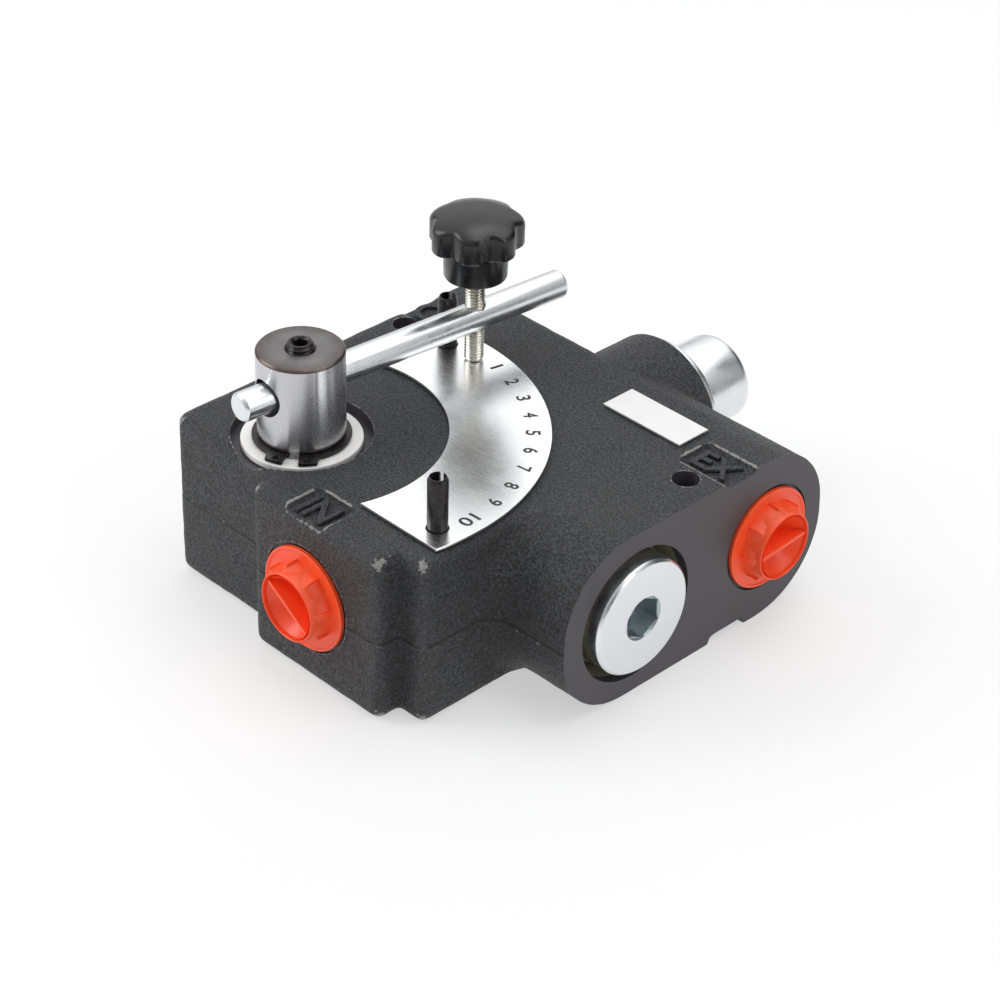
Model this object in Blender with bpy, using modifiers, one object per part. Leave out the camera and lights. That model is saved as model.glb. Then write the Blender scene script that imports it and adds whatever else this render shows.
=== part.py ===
"""Three-port rotary flow control valve with a lever, a dial and a lock screw.

Units are metres, +Z is up, and the origin is on the base plane under the lever's turning axis.
The IN port faces -Y, the EX port and the compensator plug face +X, the CF port faces -X and the
relief cap faces +Y.
"""

import math

import bmesh
import bpy
from mathutils import Matrix, Vector

MM = 0.001
GAP = 0.3 * MM  # left between pieces that touch

# Casting
TOP = 55 * MM  # the machined top plane
BLOCK_X = (-33 * MM, 74 * MM)
BLOCK_Y = (-21 * MM, 97 * MM)
CAST_ROUND = 3 * MM
BOSS_X = (10.5 * MM, 64.5 * MM)
BOSS_FACE_Y = -29 * MM
EX_FACE_X = 102 * MM
CF_FACE_X = BLOCK_X[0]
BARREL_Y = (5.8 * MM, 114.4 * MM)
BARREL_ROUND_LEFT = 25 * MM
BARREL_ROUND_RIGHT = 26 * MM
BARREL_START_X = 45 * MM
FLARE = 8 * MM  # the hollow blend between the block's +X face and the barrel's -Y side
CHANNEL_Y = (67.5 * MM, 82.4 * MM)
CHANNEL_DEPTH = 2.5 * MM
MOUNT_HOLES = ((92 * MM, 64 * MM), (-25 * MM, 64 * MM))
MOUNT_HOLE_RADIUS = 4.15 * MM
MARK_DEPTH = 1.8 * MM
MARK_BOXES = (
    ((25.5 * MM, -30 * MM), (40.5 * MM, -15.5 * MM)),
    ((83.5 * MM, 70.5 * MM), (103 * MM, 83 * MM)),
    ((-34 * MM, 68.6 * MM), (-15 * MM, 83 * MM)),
)

# Ports, G 1/2
PORT_Z = 27.5 * MM
IN_X = 33.8 * MM
EX_Y = 90.5 * MM
CF_Y = 80 * MM
PORT_RADIUS = 9.6 * MM
PORT_DEPTH = 19 * MM
SPOTFACE_RADIUS = 17.2 * MM
CF_SPOTFACE_RADIUS = 16.8 * MM
SPOTFACE_DEPTH = 1 * MM
PASSAGE_RADIUS = 7 * MM

# Rotary spool and what is on it
HUB_RADIUS = 13 * MM
HUB_TOP = TOP + 28 * MM
HUB_BOTTOM = TOP + GAP
COUNTERBORE_RADIUS = 20.8 * MM
COUNTERBORE_DEPTH = 3.6 * MM
SPOOL_BORE_RADIUS = 12.8 * MM
SPOOL_RADIUS = 12.5 * MM
SPOOL_BORE_FLOOR = 7 * MM
SPOOL_CORE_RADIUS = 7 * MM
SPOOL_CORE_TOP = 40 * MM
CLIP_GROOVE_RADIUS = 11.6 * MM
CLIP_INNER, CLIP_OUTER, CLIP_LUG = 11.9 * MM, 14.6 * MM, 17.4 * MM
CLIP_THICKNESS = 1 * MM
CLIP_GAP_ANGLE = -137.6  # degrees from the rod, half-way between the lugs
WASHER_INNER, WASHER_OUTER = 12.9 * MM, 17.9 * MM
WASHER_TOP = TOP - 1.3 * MM
SUPPLY_Z, SUPPLY_RADIUS = 32 * MM, 6 * MM
METER_Z, METER_RADIUS = 20 * MM, 5 * MM
METER_X = -13.5 * MM
METER_WINDOW_RADIUS = 4.2 * MM
O_RING_HEIGHTS = (48.5 * MM, 44 * MM)

# Lever rod, set screw and stops
LEVER_ANGLE = 85.0  # degrees from +X at rest
ROD_RADIUS = 4.5 * MM
ROD_Z = TOP + 16 * MM
ROD_BACK, ROD_REACH = -21.9 * MM, 97.4 * MM
ROD_HOLE_RADIUS = 5.8 * MM
SET_SCREW_RADIUS = 3.9 * MM
SET_SCREW_TOP = HUB_TOP + 2.2 * MM
PIN_RADIUS, PIN_WALL, PIN_SLOT = 3 * MM, 0.9 * MM, 1.3 * MM
PIN_CIRCLE = 64 * MM
PIN_ANGLES = {"stop_pin_low": 95.5, "stop_pin_high": -5.5}
PIN_TOP = TOP + 18 * MM
PIN_BOTTOM = TOP - 10 * MM

# Dial and label
DIAL_CENTRE_ANGLE = 45.0
DIAL_INNER, DIAL_OUTER = 42.7 * MM, 72.4 * MM
DIAL_EDGE = -13.7 * MM  # its two straight edges lie at this X and at this Y
PLATE_THICKNESS = 0.9 * MM
LABEL_LOW, LABEL_HIGH = (49.2 * MM, 74.6 * MM), (79.7 * MM, 86.9 * MM)

# Lock screw and knob
LOCK_RADIUS_OUT = 63.9 * MM
LOCK_SCREW_RADIUS = 2.95 * MM
LOCK_HOLE_RADIUS = 3.25 * MM
LOCK_SCREW_BOTTOM = TOP + GAP + PLATE_THICKNESS + GAP
NECK_BOTTOM = TOP + 31.5 * MM
HEAD_BOTTOM = TOP + 42.8 * MM
HEAD_EDGE = TOP + 50.5 * MM
HEAD_TOP = TOP + 54.6 * MM
KNOB_LOBES = 7
KNOB_RADIUS, KNOB_VALLEY, NECK_RADIUS = 13.9 * MM, 11.4 * MM, 9.8 * MM

# Compensator, along X
COMP_Y, COMP_Z = 34.8 * MM, 27.2 * MM
COMP_BORE_RADIUS = 12.8 * MM
COMP_BORE_END = -2 * MM
PLUG_HEAD_RADIUS = 18.3 * MM
PLUG_FACE_X = EX_FACE_X + 3 * MM
PLUG_HEAD_BACK = 96.6 * MM
PLUG_SHANK_RADIUS, PLUG_SHANK_END = 15.2 * MM, 80 * MM
PLUG_BORE_RADIUS, PLUG_BORE_END = 15.5 * MM, 78 * MM
PLUG_SEAT_RADIUS, PLUG_SEAT_X = 21.5 * MM, 94 * MM
HEX_KEY = 12 * MM
HEX_DEPTH = 7 * MM
COMP_SPOOL_X = (-1.5 * MM, 62 * MM)
COMP_TRAVEL = 8 * MM
GALLERY_X = 54 * MM

# Relief valve, along Y
RELIEF_X, RELIEF_Z = 35 * MM, TOP - 23.5 * MM
RELIEF_BOSS_RADIUS, RELIEF_FACE_Y = 23.5 * MM, 116 * MM
RELIEF_THREAD_RADIUS, RELIEF_THREAD_END = 11 * MM, 96 * MM
RELIEF_BORE_RADIUS, RELIEF_BORE_END = 9 * MM, 72 * MM
RELIEF_PASSAGE_RADIUS = 4 * MM
CAP_FLANGE_RADIUS, CAP_FLANGE_END = 21 * MM, 119.8 * MM
CAP_RADIUS, CAP_END = 14.15 * MM, 142.4 * MM

# Shipping plugs, measured outwards from the spotface
CAP_RIM_RADIUS, CAP_COLLAR_RADIUS, CAP_HOLLOW_RADIUS = 10.6 * MM, 11.9 * MM, 9.6 * MM
CAP_PLATE_RADIUS, CAP_PLATE_THICKNESS = 16.2 * MM, 1.4 * MM
CAP_HEIGHT, CAP_SPIGOT = 8 * MM, 9 * MM

MATERIALS = {
    "cast_iron_black": ((0.030, 0.030, 0.033), 0.55, 0.3),
    "ground_steel": ((0.60, 0.60, 0.62), 0.22, 1.0),
    "zinc": ((0.80, 0.82, 0.84), 0.28, 1.0),
    "zinc_yellow": ((0.72, 0.68, 0.55), 0.32, 1.0),
    "black_oxide": ((0.02, 0.02, 0.022), 0.4, 0.6),
    "black_plastic": ((0.012, 0.012, 0.013), 0.3, 0.0),
    "white_nylon": ((0.85, 0.85, 0.82), 0.5, 0.0),
    "dial_aluminium": ((0.80, 0.80, 0.80), 0.3, 1.0),
    "label_white": ((0.88, 0.88, 0.88), 0.35, 0.0),
    "spring_steel": ((0.30, 0.30, 0.32), 0.35, 1.0),
    "rubber_black": ((0.015, 0.015, 0.015), 0.7, 0.0),
    "orange_plastic": ((0.90, 0.10, 0.02), 0.35, 0.0),
}


# ---------------------------------------------------------------- scene and materials


def clear_scene():
    for obj in list(bpy.data.objects):
        bpy.data.objects.remove(obj, do_unlink=True)


def new_collection(name):
    made = bpy.data.collections.new(name)
    bpy.context.scene.collection.children.link(made)
    return made


def principled(name, colour, roughness, metallic):
    made = bpy.data.materials.new(name)
    made.use_nodes = True
    shader = made.node_tree.nodes["Principled BSDF"]
    shader.inputs["Base Color"].default_value = (*colour, 1)
    shader.inputs["Roughness"].default_value = roughness
    shader.inputs["Metallic"].default_value = metallic
    return made


# ---------------------------------------------------------------- shapes


def along(axis, origin=(0, 0, 0)):
    """A matrix that puts local +Z on the axis and local zero at the origin."""
    turn = Vector((0, 0, 1)).rotation_difference(Vector(axis)).to_matrix().to_4x4()
    return Matrix.Translation(origin) @ turn


X_AXIS, Y_AXIS, Z_AXIS = (1, 0, 0), (0, 1, 0), (0, 0, 1)
SIDE_PLANE = Matrix(((0, 0, 1, 0), (1, 0, 0, 0), (0, 1, 0, 0), (0, 0, 0, 1)))  # local XY is world YZ


def add_object(name, mesh, matrix=None):
    obj = bpy.data.objects.new(name, mesh)
    obj.matrix_world = matrix or Matrix()
    parts.objects.link(obj)
    return obj


def block(name, low, high, bevel=0.0):
    """A box between two corners, with its origin at the middle and optional rounded edges."""
    low, high = Vector(low), Vector(high)
    shape = bmesh.new()
    bmesh.ops.create_cube(shape, size=1)
    bmesh.ops.scale(shape, vec=high - low, verts=shape.verts)
    mesh = bpy.data.meshes.new(name)
    shape.to_mesh(mesh)
    shape.free()
    obj = add_object(name, mesh, Matrix.Translation((low + high) / 2))
    if bevel:
        rounding = obj.modifiers.new("Rounded edges", "BEVEL")
        rounding.width = bevel
        rounding.segments = 3
    return obj


def cylinder(name, matrix, radius, start, end, sides=36, end_radius=None):
    """A solid cylinder or cone on local Z between two distances from the matrix's origin."""
    shape = bmesh.new()
    bmesh.ops.create_cone(
        shape,
        cap_ends=True,
        segments=sides,
        radius1=radius,
        radius2=radius if end_radius is None else end_radius,
        depth=end - start,
        matrix=Matrix.Translation((0, 0, (start + end) / 2)),
    )
    mesh = bpy.data.meshes.new(name)
    shape.to_mesh(mesh)
    shape.free()
    return add_object(name, mesh, matrix)


def turned(name, matrix, profile, closed=False, sides=36):
    """A turned solid. The profile is (radius, distance along the axis), and runs down its outer side."""
    shape = bmesh.new()
    points = [shape.verts.new((radius, 0, height)) for radius, height in profile]
    pairs = list(zip(points, points[1:]))
    if closed:
        pairs.append((points[-1], points[0]))
    for pair in pairs:
        shape.edges.new(pair)
    mesh = bpy.data.meshes.new(name)
    shape.to_mesh(mesh)
    shape.free()
    obj = add_object(name, mesh, matrix)
    screw = obj.modifiers.new("Turned", "SCREW")
    screw.steps = sides
    screw.render_steps = sides
    screw.use_merge_vertices = True
    screw.merge_threshold = 0.01 * MM
    return obj


def from_curve(name, curve, matrix):
    """The curve's evaluated shape as a mesh object with its caps welded."""
    guide = bpy.data.objects.new(name + "_curve", curve)
    parts.objects.link(guide)
    bpy.context.view_layer.update()
    graph = bpy.context.evaluated_depsgraph_get()
    mesh = bpy.data.meshes.new_from_object(guide.evaluated_get(graph))
    bpy.data.objects.remove(guide, do_unlink=True)
    shape = bmesh.new()
    shape.from_mesh(mesh)
    bmesh.ops.remove_doubles(shape, verts=shape.verts, dist=0.001 * MM)
    shape.to_mesh(mesh)
    shape.free()
    mesh.name = name
    return add_object(name, mesh, matrix)


def slab(name, matrix, loops, low, high):
    """A flat outline with optional holes, extruded along local Z from low to high."""
    curve = bpy.data.curves.new(name, "CURVE")
    curve.dimensions = "2D"
    curve.fill_mode = "BOTH"
    curve.extrude = (high - low) / 2
    for loop in loops:
        spline = curve.splines.new("POLY")
        spline.points.add(len(loop) - 1)
        spline.use_cyclic_u = True
        for point, (x, y) in zip(spline.points, loop):
            point.co = (x, y, 0, 1)
    return from_curve(name, curve, matrix @ Matrix.Translation((0, 0, (low + high) / 2)))


def wire(name, matrix, points, radius):
    curve = bpy.data.curves.new(name, "CURVE")
    curve.dimensions = "3D"
    curve.bevel_depth = radius
    curve.bevel_resolution = 2
    curve.use_fill_caps = True
    spline = curve.splines.new("POLY")
    spline.points.add(len(points) - 1)
    for point, place in zip(spline.points, points):
        point.co = (*place, 1)
    return from_curve(name, curve, matrix)


def coil(name, matrix, radius, start, end, turns, wire_radius, steps=12):
    """A compression spring on local Z, whose end turns are closed."""
    count = int(turns * steps)
    points = []
    for step in range(count + 1):
        share = step / count
        rise = (1 - math.cos(math.pi * share)) / 2 * 0.35 + share * 0.65
        height = start + wire_radius + (end - start - 2 * wire_radius) * rise
        angle = 2 * math.pi * step / steps
        points.append((radius * math.cos(angle), radius * math.sin(angle), height))
    return wire(name, matrix, points, wire_radius)


def ring(name, matrix, major, minor, height):
    """An O-ring round local Z."""
    bpy.ops.mesh.primitive_torus_add(
        major_radius=major, minor_radius=minor, major_segments=32, minor_segments=6
    )
    obj = bpy.context.object
    obj.name = name
    obj.matrix_world = matrix @ Matrix.Translation((0, 0, height))
    for holder in list(obj.users_collection):
        holder.objects.unlink(obj)
    parts.objects.link(obj)
    return obj


def arc(centre, radius, start, end, count):
    """Points on an arc, from one angle in degrees to another."""
    steps = [math.radians(start + (end - start) * i / (count - 1)) for i in range(count)]
    return [(centre[0] + radius * math.cos(a), centre[1] + radius * math.sin(a)) for a in steps]


def circle(centre, radius, count):
    return arc(centre, radius, 0, 360 - 360 / count, count)


def polar(radius, degrees, height=0.0):
    angle = math.radians(degrees)
    return Vector((radius * math.cos(angle), radius * math.sin(angle), height))


def combine(target, tools, operation="DIFFERENCE"):
    """Cuts the tools from the target, or joins them to it, and files them as cutters."""
    for tool in tools:
        step = target.modifiers.new(tool.name, "BOOLEAN")
        step.operation = operation
        step.solver = "EXACT"
        step.object = tool
        parts.objects.unlink(tool)
        cutters.objects.link(tool)
        tool.hide_render = True
        tool.display_type = "WIRE"
    return target


def finish(obj, material, parent=None, smooth=True):
    """Gives a part its own material, its shading and its parent."""
    own = materials[material].copy()
    own.name = obj.name
    obj.data.materials.clear()
    obj.data.materials.append(own)
    if smooth:
        obj.data.shade_smooth()
        obj.data.set_sharp_from_angle(angle=math.radians(35))
    if parent:
        obj.parent = parent
        obj.matrix_parent_inverse = parent.matrix_world.inverted()
    return obj


def pivot(name, matrix):
    """An empty on a joint's axis, which the pieces that move with it hang from."""
    empty = bpy.data.objects.new(name, None)
    empty.matrix_world = matrix
    empty.empty_display_size = 10 * MM
    parts.objects.link(empty)
    bpy.context.view_layer.update()
    return empty


# ---------------------------------------------------------------- the casting


def barrel_outline():
    """The oblong end of the right block in its own YZ plane."""
    left, right = BARREL_Y
    r_left, r_right = BARREL_ROUND_LEFT, BARREL_ROUND_RIGHT
    corners = (
        ((right - r_right, r_right), r_right, -90, 0),
        ((right - r_right, TOP - r_right), r_right, 0, 90),
        ((left + r_left, TOP - r_left), r_left, 90, 180),
        ((left + r_left, r_left), r_left, 180, 270),
    )
    return [point for corner in corners for point in arc(*corner, 10)]


def flare_outline(widen):
    """The barrel's rounded -Y side, moved out by the given distance."""
    left, radius = BARREL_Y[0] - widen, BARREL_ROUND_LEFT
    inside = BARREL_Y[0] + BARREL_ROUND_LEFT + 2 * MM
    upper = arc((left + radius, TOP - radius), radius, 90, 180, 10)
    lower = arc((left + radius, radius), radius, 180, 270, 10)
    return [(inside, TOP), *upper, *lower, (inside, 0)]


def barrel_flare():
    """A loft whose side follows a quarter circle from the block's face to the barrel's side."""
    stations = [(BLOCK_X[1] - FLARE, FLARE)]
    for i in range(5):
        turn = math.pi / 8 * i
        stations.append((BLOCK_X[1] + FLARE * (1 - math.cos(turn)), FLARE * (1 - math.sin(turn))))
    shape = bmesh.new()
    rings = []
    for x, widen in stations:
        rings.append([shape.verts.new((x, y, z)) for y, z in flare_outline(widen)])
    for near, far in zip(rings, rings[1:]):
        for i in range(len(near)):
            j = (i + 1) % len(near)
            shape.faces.new((near[i], near[j], far[j], far[i]))
    shape.faces.new(rings[0][::-1])
    shape.faces.new(rings[-1])
    bmesh.ops.recalc_face_normals(shape, faces=shape.faces)
    mesh = bpy.data.meshes.new("barrel_flare")
    shape.to_mesh(mesh)
    shape.free()
    return add_object("barrel_flare", mesh)


def port_cutters(name, matrix, spotface, depth=PORT_DEPTH):
    """A spotface, a threaded bore and its lead-in chamfer, cut inwards along local -Z."""
    return [
        cylinder(name + "_spotface", matrix, spotface, -SPOTFACE_DEPTH, 5 * MM, 48),
        cylinder(
            name + "_chamfer",
            matrix,
            PORT_RADIUS,
            -SPOTFACE_DEPTH - 1.2 * MM,
            -SPOTFACE_DEPTH + 0.4 * MM,
            40,
            PORT_RADIUS + 1.6 * MM,
        ),
        cylinder(name + "_bore", matrix, PORT_RADIUS, -depth, 4 * MM),
    ]


def build_casting():
    low, high = zip(BLOCK_X, BLOCK_Y, (0, TOP))
    body = block("body_casting", low, high, CAST_ROUND)
    boss_low = (BOSS_X[0], BOSS_FACE_Y, 0)
    boss_high = (BOSS_X[1], BLOCK_Y[0] + 12 * MM, TOP)
    boss = block("in_boss", boss_low, boss_high, CAST_ROUND)
    barrel = slab("barrel", SIDE_PLANE, [barrel_outline()], BARREL_START_X, EX_FACE_X)
    relief_boss = cylinder(
        "relief_boss",
        along(Y_AXIS, (RELIEF_X, 0, RELIEF_Z)),
        RELIEF_BOSS_RADIUS,
        80 * MM,
        RELIEF_FACE_Y,
        56,
    )
    combine(body, [boss, barrel, barrel_flare(), relief_boss], "UNION")

    up = Matrix()
    tools = [
        cylinder("counterbore", up, COUNTERBORE_RADIUS, TOP - COUNTERBORE_DEPTH, TOP + 5 * MM, 56),
        cylinder("spool_bore", up, SPOOL_BORE_RADIUS, SPOOL_BORE_FLOOR, TOP),
    ]
    tools += port_cutters("in", along((0, -1, 0), (IN_X, BOSS_FACE_Y, PORT_Z)), SPOTFACE_RADIUS)
    tools += port_cutters("ex", along(X_AXIS, (EX_FACE_X, EX_Y, PORT_Z)), SPOTFACE_RADIUS)
    tools += port_cutters("cf", along((-1, 0, 0), (CF_FACE_X, CF_Y, PORT_Z)), CF_SPOTFACE_RADIUS)

    comp = along(X_AXIS, (0, COMP_Y, COMP_Z))
    tools += [
        cylinder("comp_bore", comp, COMP_BORE_RADIUS, COMP_BORE_END, 90 * MM),
        cylinder("plug_bore", comp, PLUG_BORE_RADIUS, PLUG_BORE_END, 100 * MM),
        cylinder("plug_seat", comp, PLUG_SEAT_RADIUS, PLUG_SEAT_X, 107 * MM, 56),
    ]
    relief = along(Y_AXIS, (RELIEF_X, 0, RELIEF_Z))
    tools += [
        cylinder("relief_thread", relief, RELIEF_THREAD_RADIUS, RELIEF_THREAD_END, 120 * MM),
        cylinder("relief_bore", relief, RELIEF_BORE_RADIUS, RELIEF_BORE_END, 100 * MM),
        cylinder("relief_seal_seat", relief, 14 * MM, RELIEF_FACE_Y - 2.2 * MM, 121 * MM),
        cylinder("relief_passage", relief, RELIEF_PASSAGE_RADIUS, COMP_Y, 80 * MM, 24),
    ]
    tools += [
        cylinder(
            "in_passage",
            along(Y_AXIS, (IN_X, 0, PORT_Z)),
            PASSAGE_RADIUS,
            BOSS_FACE_Y + PORT_DEPTH - 2 * MM,
            COMP_Y,
            32,
        ),
        cylinder(
            "ex_passage",
            along(X_AXIS, (0, EX_Y, PORT_Z)),
            PASSAGE_RADIUS,
            RELIEF_X,
            EX_FACE_X - PORT_DEPTH + 2 * MM,
            32,
        ),
        cylinder(
            "ex_gallery", along(Y_AXIS, (GALLERY_X, 0, PORT_Z)), SUPPLY_RADIUS, COMP_Y, EX_Y, 32
        ),
        cylinder("supply", along(Y_AXIS, (0, 0, SUPPLY_Z)), SUPPLY_RADIUS, 5 * MM, COMP_Y, 32),
        cylinder(
            "cf_gallery",
            along(Y_AXIS, (METER_X, 0, METER_Z)),
            METER_RADIUS,
            -2 * MM,
            CF_Y + 3 * MM,
            32,
        ),
    ]
    for i, (x, y) in enumerate(MOUNT_HOLES):
        place = Matrix.Translation((x, y, 0))
        tools.append(
            cylinder(f"mount_hole_{i}", place, MOUNT_HOLE_RADIUS, -2 * MM, TOP + 2 * MM, 32)
        )
    for name, angle in PIN_ANGLES.items():
        place = Matrix.Translation(polar(PIN_CIRCLE, angle))
        tools.append(
            cylinder(name + "_hole", place, PIN_RADIUS + GAP, PIN_BOTTOM - GAP, TOP + 2 * MM, 24)
        )
    for i, (low, high) in enumerate(MARK_BOXES):
        tools.append(block(f"mark_{i}", (*low, TOP - MARK_DEPTH), (*high, TOP + 3 * MM)))
    tools.append(
        block(
            "channel",
            (BLOCK_X[0] - 5 * MM, CHANNEL_Y[0], -5 * MM),
            (EX_FACE_X + 5 * MM, CHANNEL_Y[1], CHANNEL_DEPTH),
        )
    )
    combine(body, tools)
    finish(body, "cast_iron_black")


# ---------------------------------------------------------------- spool, lever and stops


def build_rotary_spool(lever):
    """The ground spool, whose hub stands above the casting. It is built with the rod along +X."""
    frame = lever.matrix_world
    bottom = SPOOL_BORE_FLOOR + GAP
    groove_low, groove_high = WASHER_TOP, HUB_BOTTOM
    chamfer = 0.6 * MM
    profile = [(0, HUB_TOP), (HUB_RADIUS - chamfer, HUB_TOP), (HUB_RADIUS, HUB_TOP - chamfer)]
    profile += [(HUB_RADIUS, groove_high + chamfer), (HUB_RADIUS - chamfer, groove_high)]
    profile += [(CLIP_GROOVE_RADIUS, groove_high), (CLIP_GROOVE_RADIUS, groove_low)]
    profile += [(SPOOL_RADIUS, groove_low)]
    ring_groove_depth, ring_groove_half = 1.8 * MM, 1.3 * MM
    for height in O_RING_HEIGHTS:
        for offset, radius in (
            (ring_groove_half, SPOOL_RADIUS),
            (ring_groove_half, SPOOL_RADIUS - ring_groove_depth),
            (-ring_groove_half, SPOOL_RADIUS - ring_groove_depth),
            (-ring_groove_half, SPOOL_RADIUS),
        ):
            profile.append((radius, height + offset))
    profile += [(SPOOL_RADIUS, bottom + chamfer), (SPOOL_RADIUS - chamfer, bottom), (0, bottom)]
    spool = turned("rotary_spool", frame, profile, sides=44)

    supply_turn = math.radians(132 - LEVER_ANGLE)
    meter_turn = math.radians(249 - LEVER_ANGLE)
    window = block("spool_window", (4 * MM, -15 * MM, 26.5 * MM), (16 * MM, 15 * MM, 37.5 * MM))
    window.matrix_world = frame @ Matrix.Rotation(supply_turn, 4, "Z") @ window.matrix_world
    meter = along((math.cos(meter_turn), math.sin(meter_turn), 0), (0, 0, METER_Z))
    tools = [
        cylinder("spool_core", frame, SPOOL_CORE_RADIUS, bottom - 2 * MM, SPOOL_CORE_TOP, 32),
        window,
        cylinder("meter_window", frame @ meter, METER_WINDOW_RADIUS, 3 * MM, 16 * MM, 24),
        cylinder(
            "rod_hole", frame @ along(X_AXIS, (0, 0, ROD_Z)), ROD_HOLE_RADIUS, -20 * MM, 20 * MM, 32
        ),
        cylinder("set_screw_hole", frame, SET_SCREW_RADIUS + GAP, ROD_Z, HUB_TOP + 3 * MM, 32),
    ]
    combine(spool, tools)
    finish(spool, "ground_steel", lever)

    for i, height in enumerate(O_RING_HEIGHTS):
        name = f"spool_o_ring_{i + 1}"
        finish(ring(name, frame, 11.7 * MM, 0.9 * MM, height), "rubber_black", lever)


def clip_outline():
    """The circlip's outline round the spool, with its two lugs at the gap, and the lugs' plier holes."""
    gap_half, lug_half = 8.0, 26.0
    lug_holes = [polar(15.9 * MM, CLIP_GAP_ANGLE + side * 16.5) for side in (-1, 1)]
    start, end = CLIP_GAP_ANGLE + gap_half, CLIP_GAP_ANGLE - gap_half + 360
    outer_start, outer_end = CLIP_GAP_ANGLE + lug_half, CLIP_GAP_ANGLE - lug_half + 360
    outline = arc((0, 0), CLIP_LUG, start, outer_start, 5)
    outline += arc((0, 0), CLIP_OUTER, outer_start + 7, outer_end - 7, 40)
    outline += arc((0, 0), CLIP_LUG, outer_end, end, 5)
    outline += arc((0, 0), CLIP_INNER, end, start, 44)
    return [outline] + [circle((hole.x, hole.y), 0.9 * MM, 12) for hole in lug_holes]


def build_on_spool(lever):
    frame = lever.matrix_world
    clip_low = WASHER_TOP + GAP
    clip = slab("circlip", frame, clip_outline(), clip_low, clip_low + CLIP_THICKNESS)
    finish(clip, "black_oxide", lever)

    seat = TOP - COUNTERBORE_DEPTH + GAP
    rim = [
        (WASHER_INNER, WASHER_TOP),
        (WASHER_OUTER, WASHER_TOP),
        (WASHER_OUTER, seat),
        (WASHER_INNER, seat),
    ]
    finish(turned("thrust_washer", Matrix(), rim, closed=True, sides=44), "white_nylon")

    screw_low = ROD_Z + ROD_RADIUS + GAP
    tip = 1 * MM
    profile = [(0, SET_SCREW_TOP), (3.2 * MM, SET_SCREW_TOP), (SET_SCREW_RADIUS, SET_SCREW_TOP - tip)]
    profile += [(SET_SCREW_RADIUS, screw_low + tip), (2.6 * MM, screw_low), (0, screw_low)]
    set_screw = turned("hub_set_screw", frame, profile, sides=28)
    socket_top = SET_SCREW_TOP + 1 * MM
    combine(set_screw, [cylinder("set_socket", frame, 2.3 * MM, HUB_TOP - 2 * MM, socket_top, 6)])
    finish(set_screw, "black_oxide", lever)

    chamfer = 0.7 * MM
    profile = [(0, ROD_REACH), (ROD_RADIUS - chamfer, ROD_REACH), (ROD_RADIUS, ROD_REACH - chamfer)]
    profile += [(ROD_RADIUS, ROD_BACK + chamfer), (ROD_RADIUS - chamfer, ROD_BACK), (0, ROD_BACK)]
    rod = turned("lever_rod", frame @ along(X_AXIS, (0, 0, ROD_Z)), profile, sides=36)
    hole = frame @ Matrix.Translation((LOCK_RADIUS_OUT, 0, 0))
    drill = cylinder(
        "lock_hole", hole, LOCK_HOLE_RADIUS, ROD_Z - 10 * MM, ROD_Z + 10 * MM, 24
    )
    combine(rod, [drill])
    finish(rod, "zinc", lever)


def build_stops():
    """Two slotted spring pins, each a C-shaped tube pressed into the casting."""
    inner = PIN_RADIUS - PIN_WALL
    half_out = math.degrees(math.asin(PIN_SLOT / 2 / PIN_RADIUS))
    half_in = math.degrees(math.asin(PIN_SLOT / 2 / inner))
    outline = arc((0, 0), PIN_RADIUS, half_out, 360 - half_out, 26)
    outline += arc((0, 0), inner, 360 - half_in, half_in, 20)
    slot_direction = Matrix.Rotation(math.radians(110), 4, "Z")
    for name, angle in PIN_ANGLES.items():
        place = Matrix.Translation(polar(PIN_CIRCLE, angle)) @ slot_direction
        finish(slab(name, place, [outline], PIN_BOTTOM, PIN_TOP), "black_oxide")


# ---------------------------------------------------------------- dial and label


def build_dial():
    """An annular sector round the lever's axis, cut straight along X and along Y at its two ends."""

    def edge_angle(radius):
        return math.degrees(math.asin(DIAL_EDGE / radius))

    outer, inner = edge_angle(DIAL_OUTER), edge_angle(DIAL_INNER)
    outline = arc((0, 0), DIAL_OUTER, outer, 90 - outer, 48)
    outline += arc((0, 0), DIAL_INNER, 90 - inner, inner, 40)
    holes = []
    for angle in PIN_ANGLES.values():
        centre = polar(PIN_CIRCLE, angle)
        holes.append(circle((centre.x, centre.y), PIN_RADIUS + GAP, 24))
    low = TOP + GAP
    dial = slab("dial_plate", Matrix(), [outline, *holes], low, low + PLATE_THICKNESS)
    finish(dial, "dial_aluminium")

    thickness = 0.5 * MM
    label = block("label_plate", (*LABEL_LOW, TOP + GAP), (*LABEL_HIGH, TOP + GAP + thickness))
    finish(label, "label_white", smooth=False)


# ---------------------------------------------------------------- lock screw and knob


def lobed_outline(count=70):
    """Broad lobes with narrower valleys between them."""
    points = []
    for i in range(count):
        angle = 2 * math.pi * i / count
        dip = ((1 - math.cos(KNOB_LOBES * angle)) / 2) ** 1.3
        radius = KNOB_RADIUS - (KNOB_RADIUS - KNOB_VALLEY) * dip
        points.append((radius * math.cos(angle), radius * math.sin(angle)))
    return points


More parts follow.
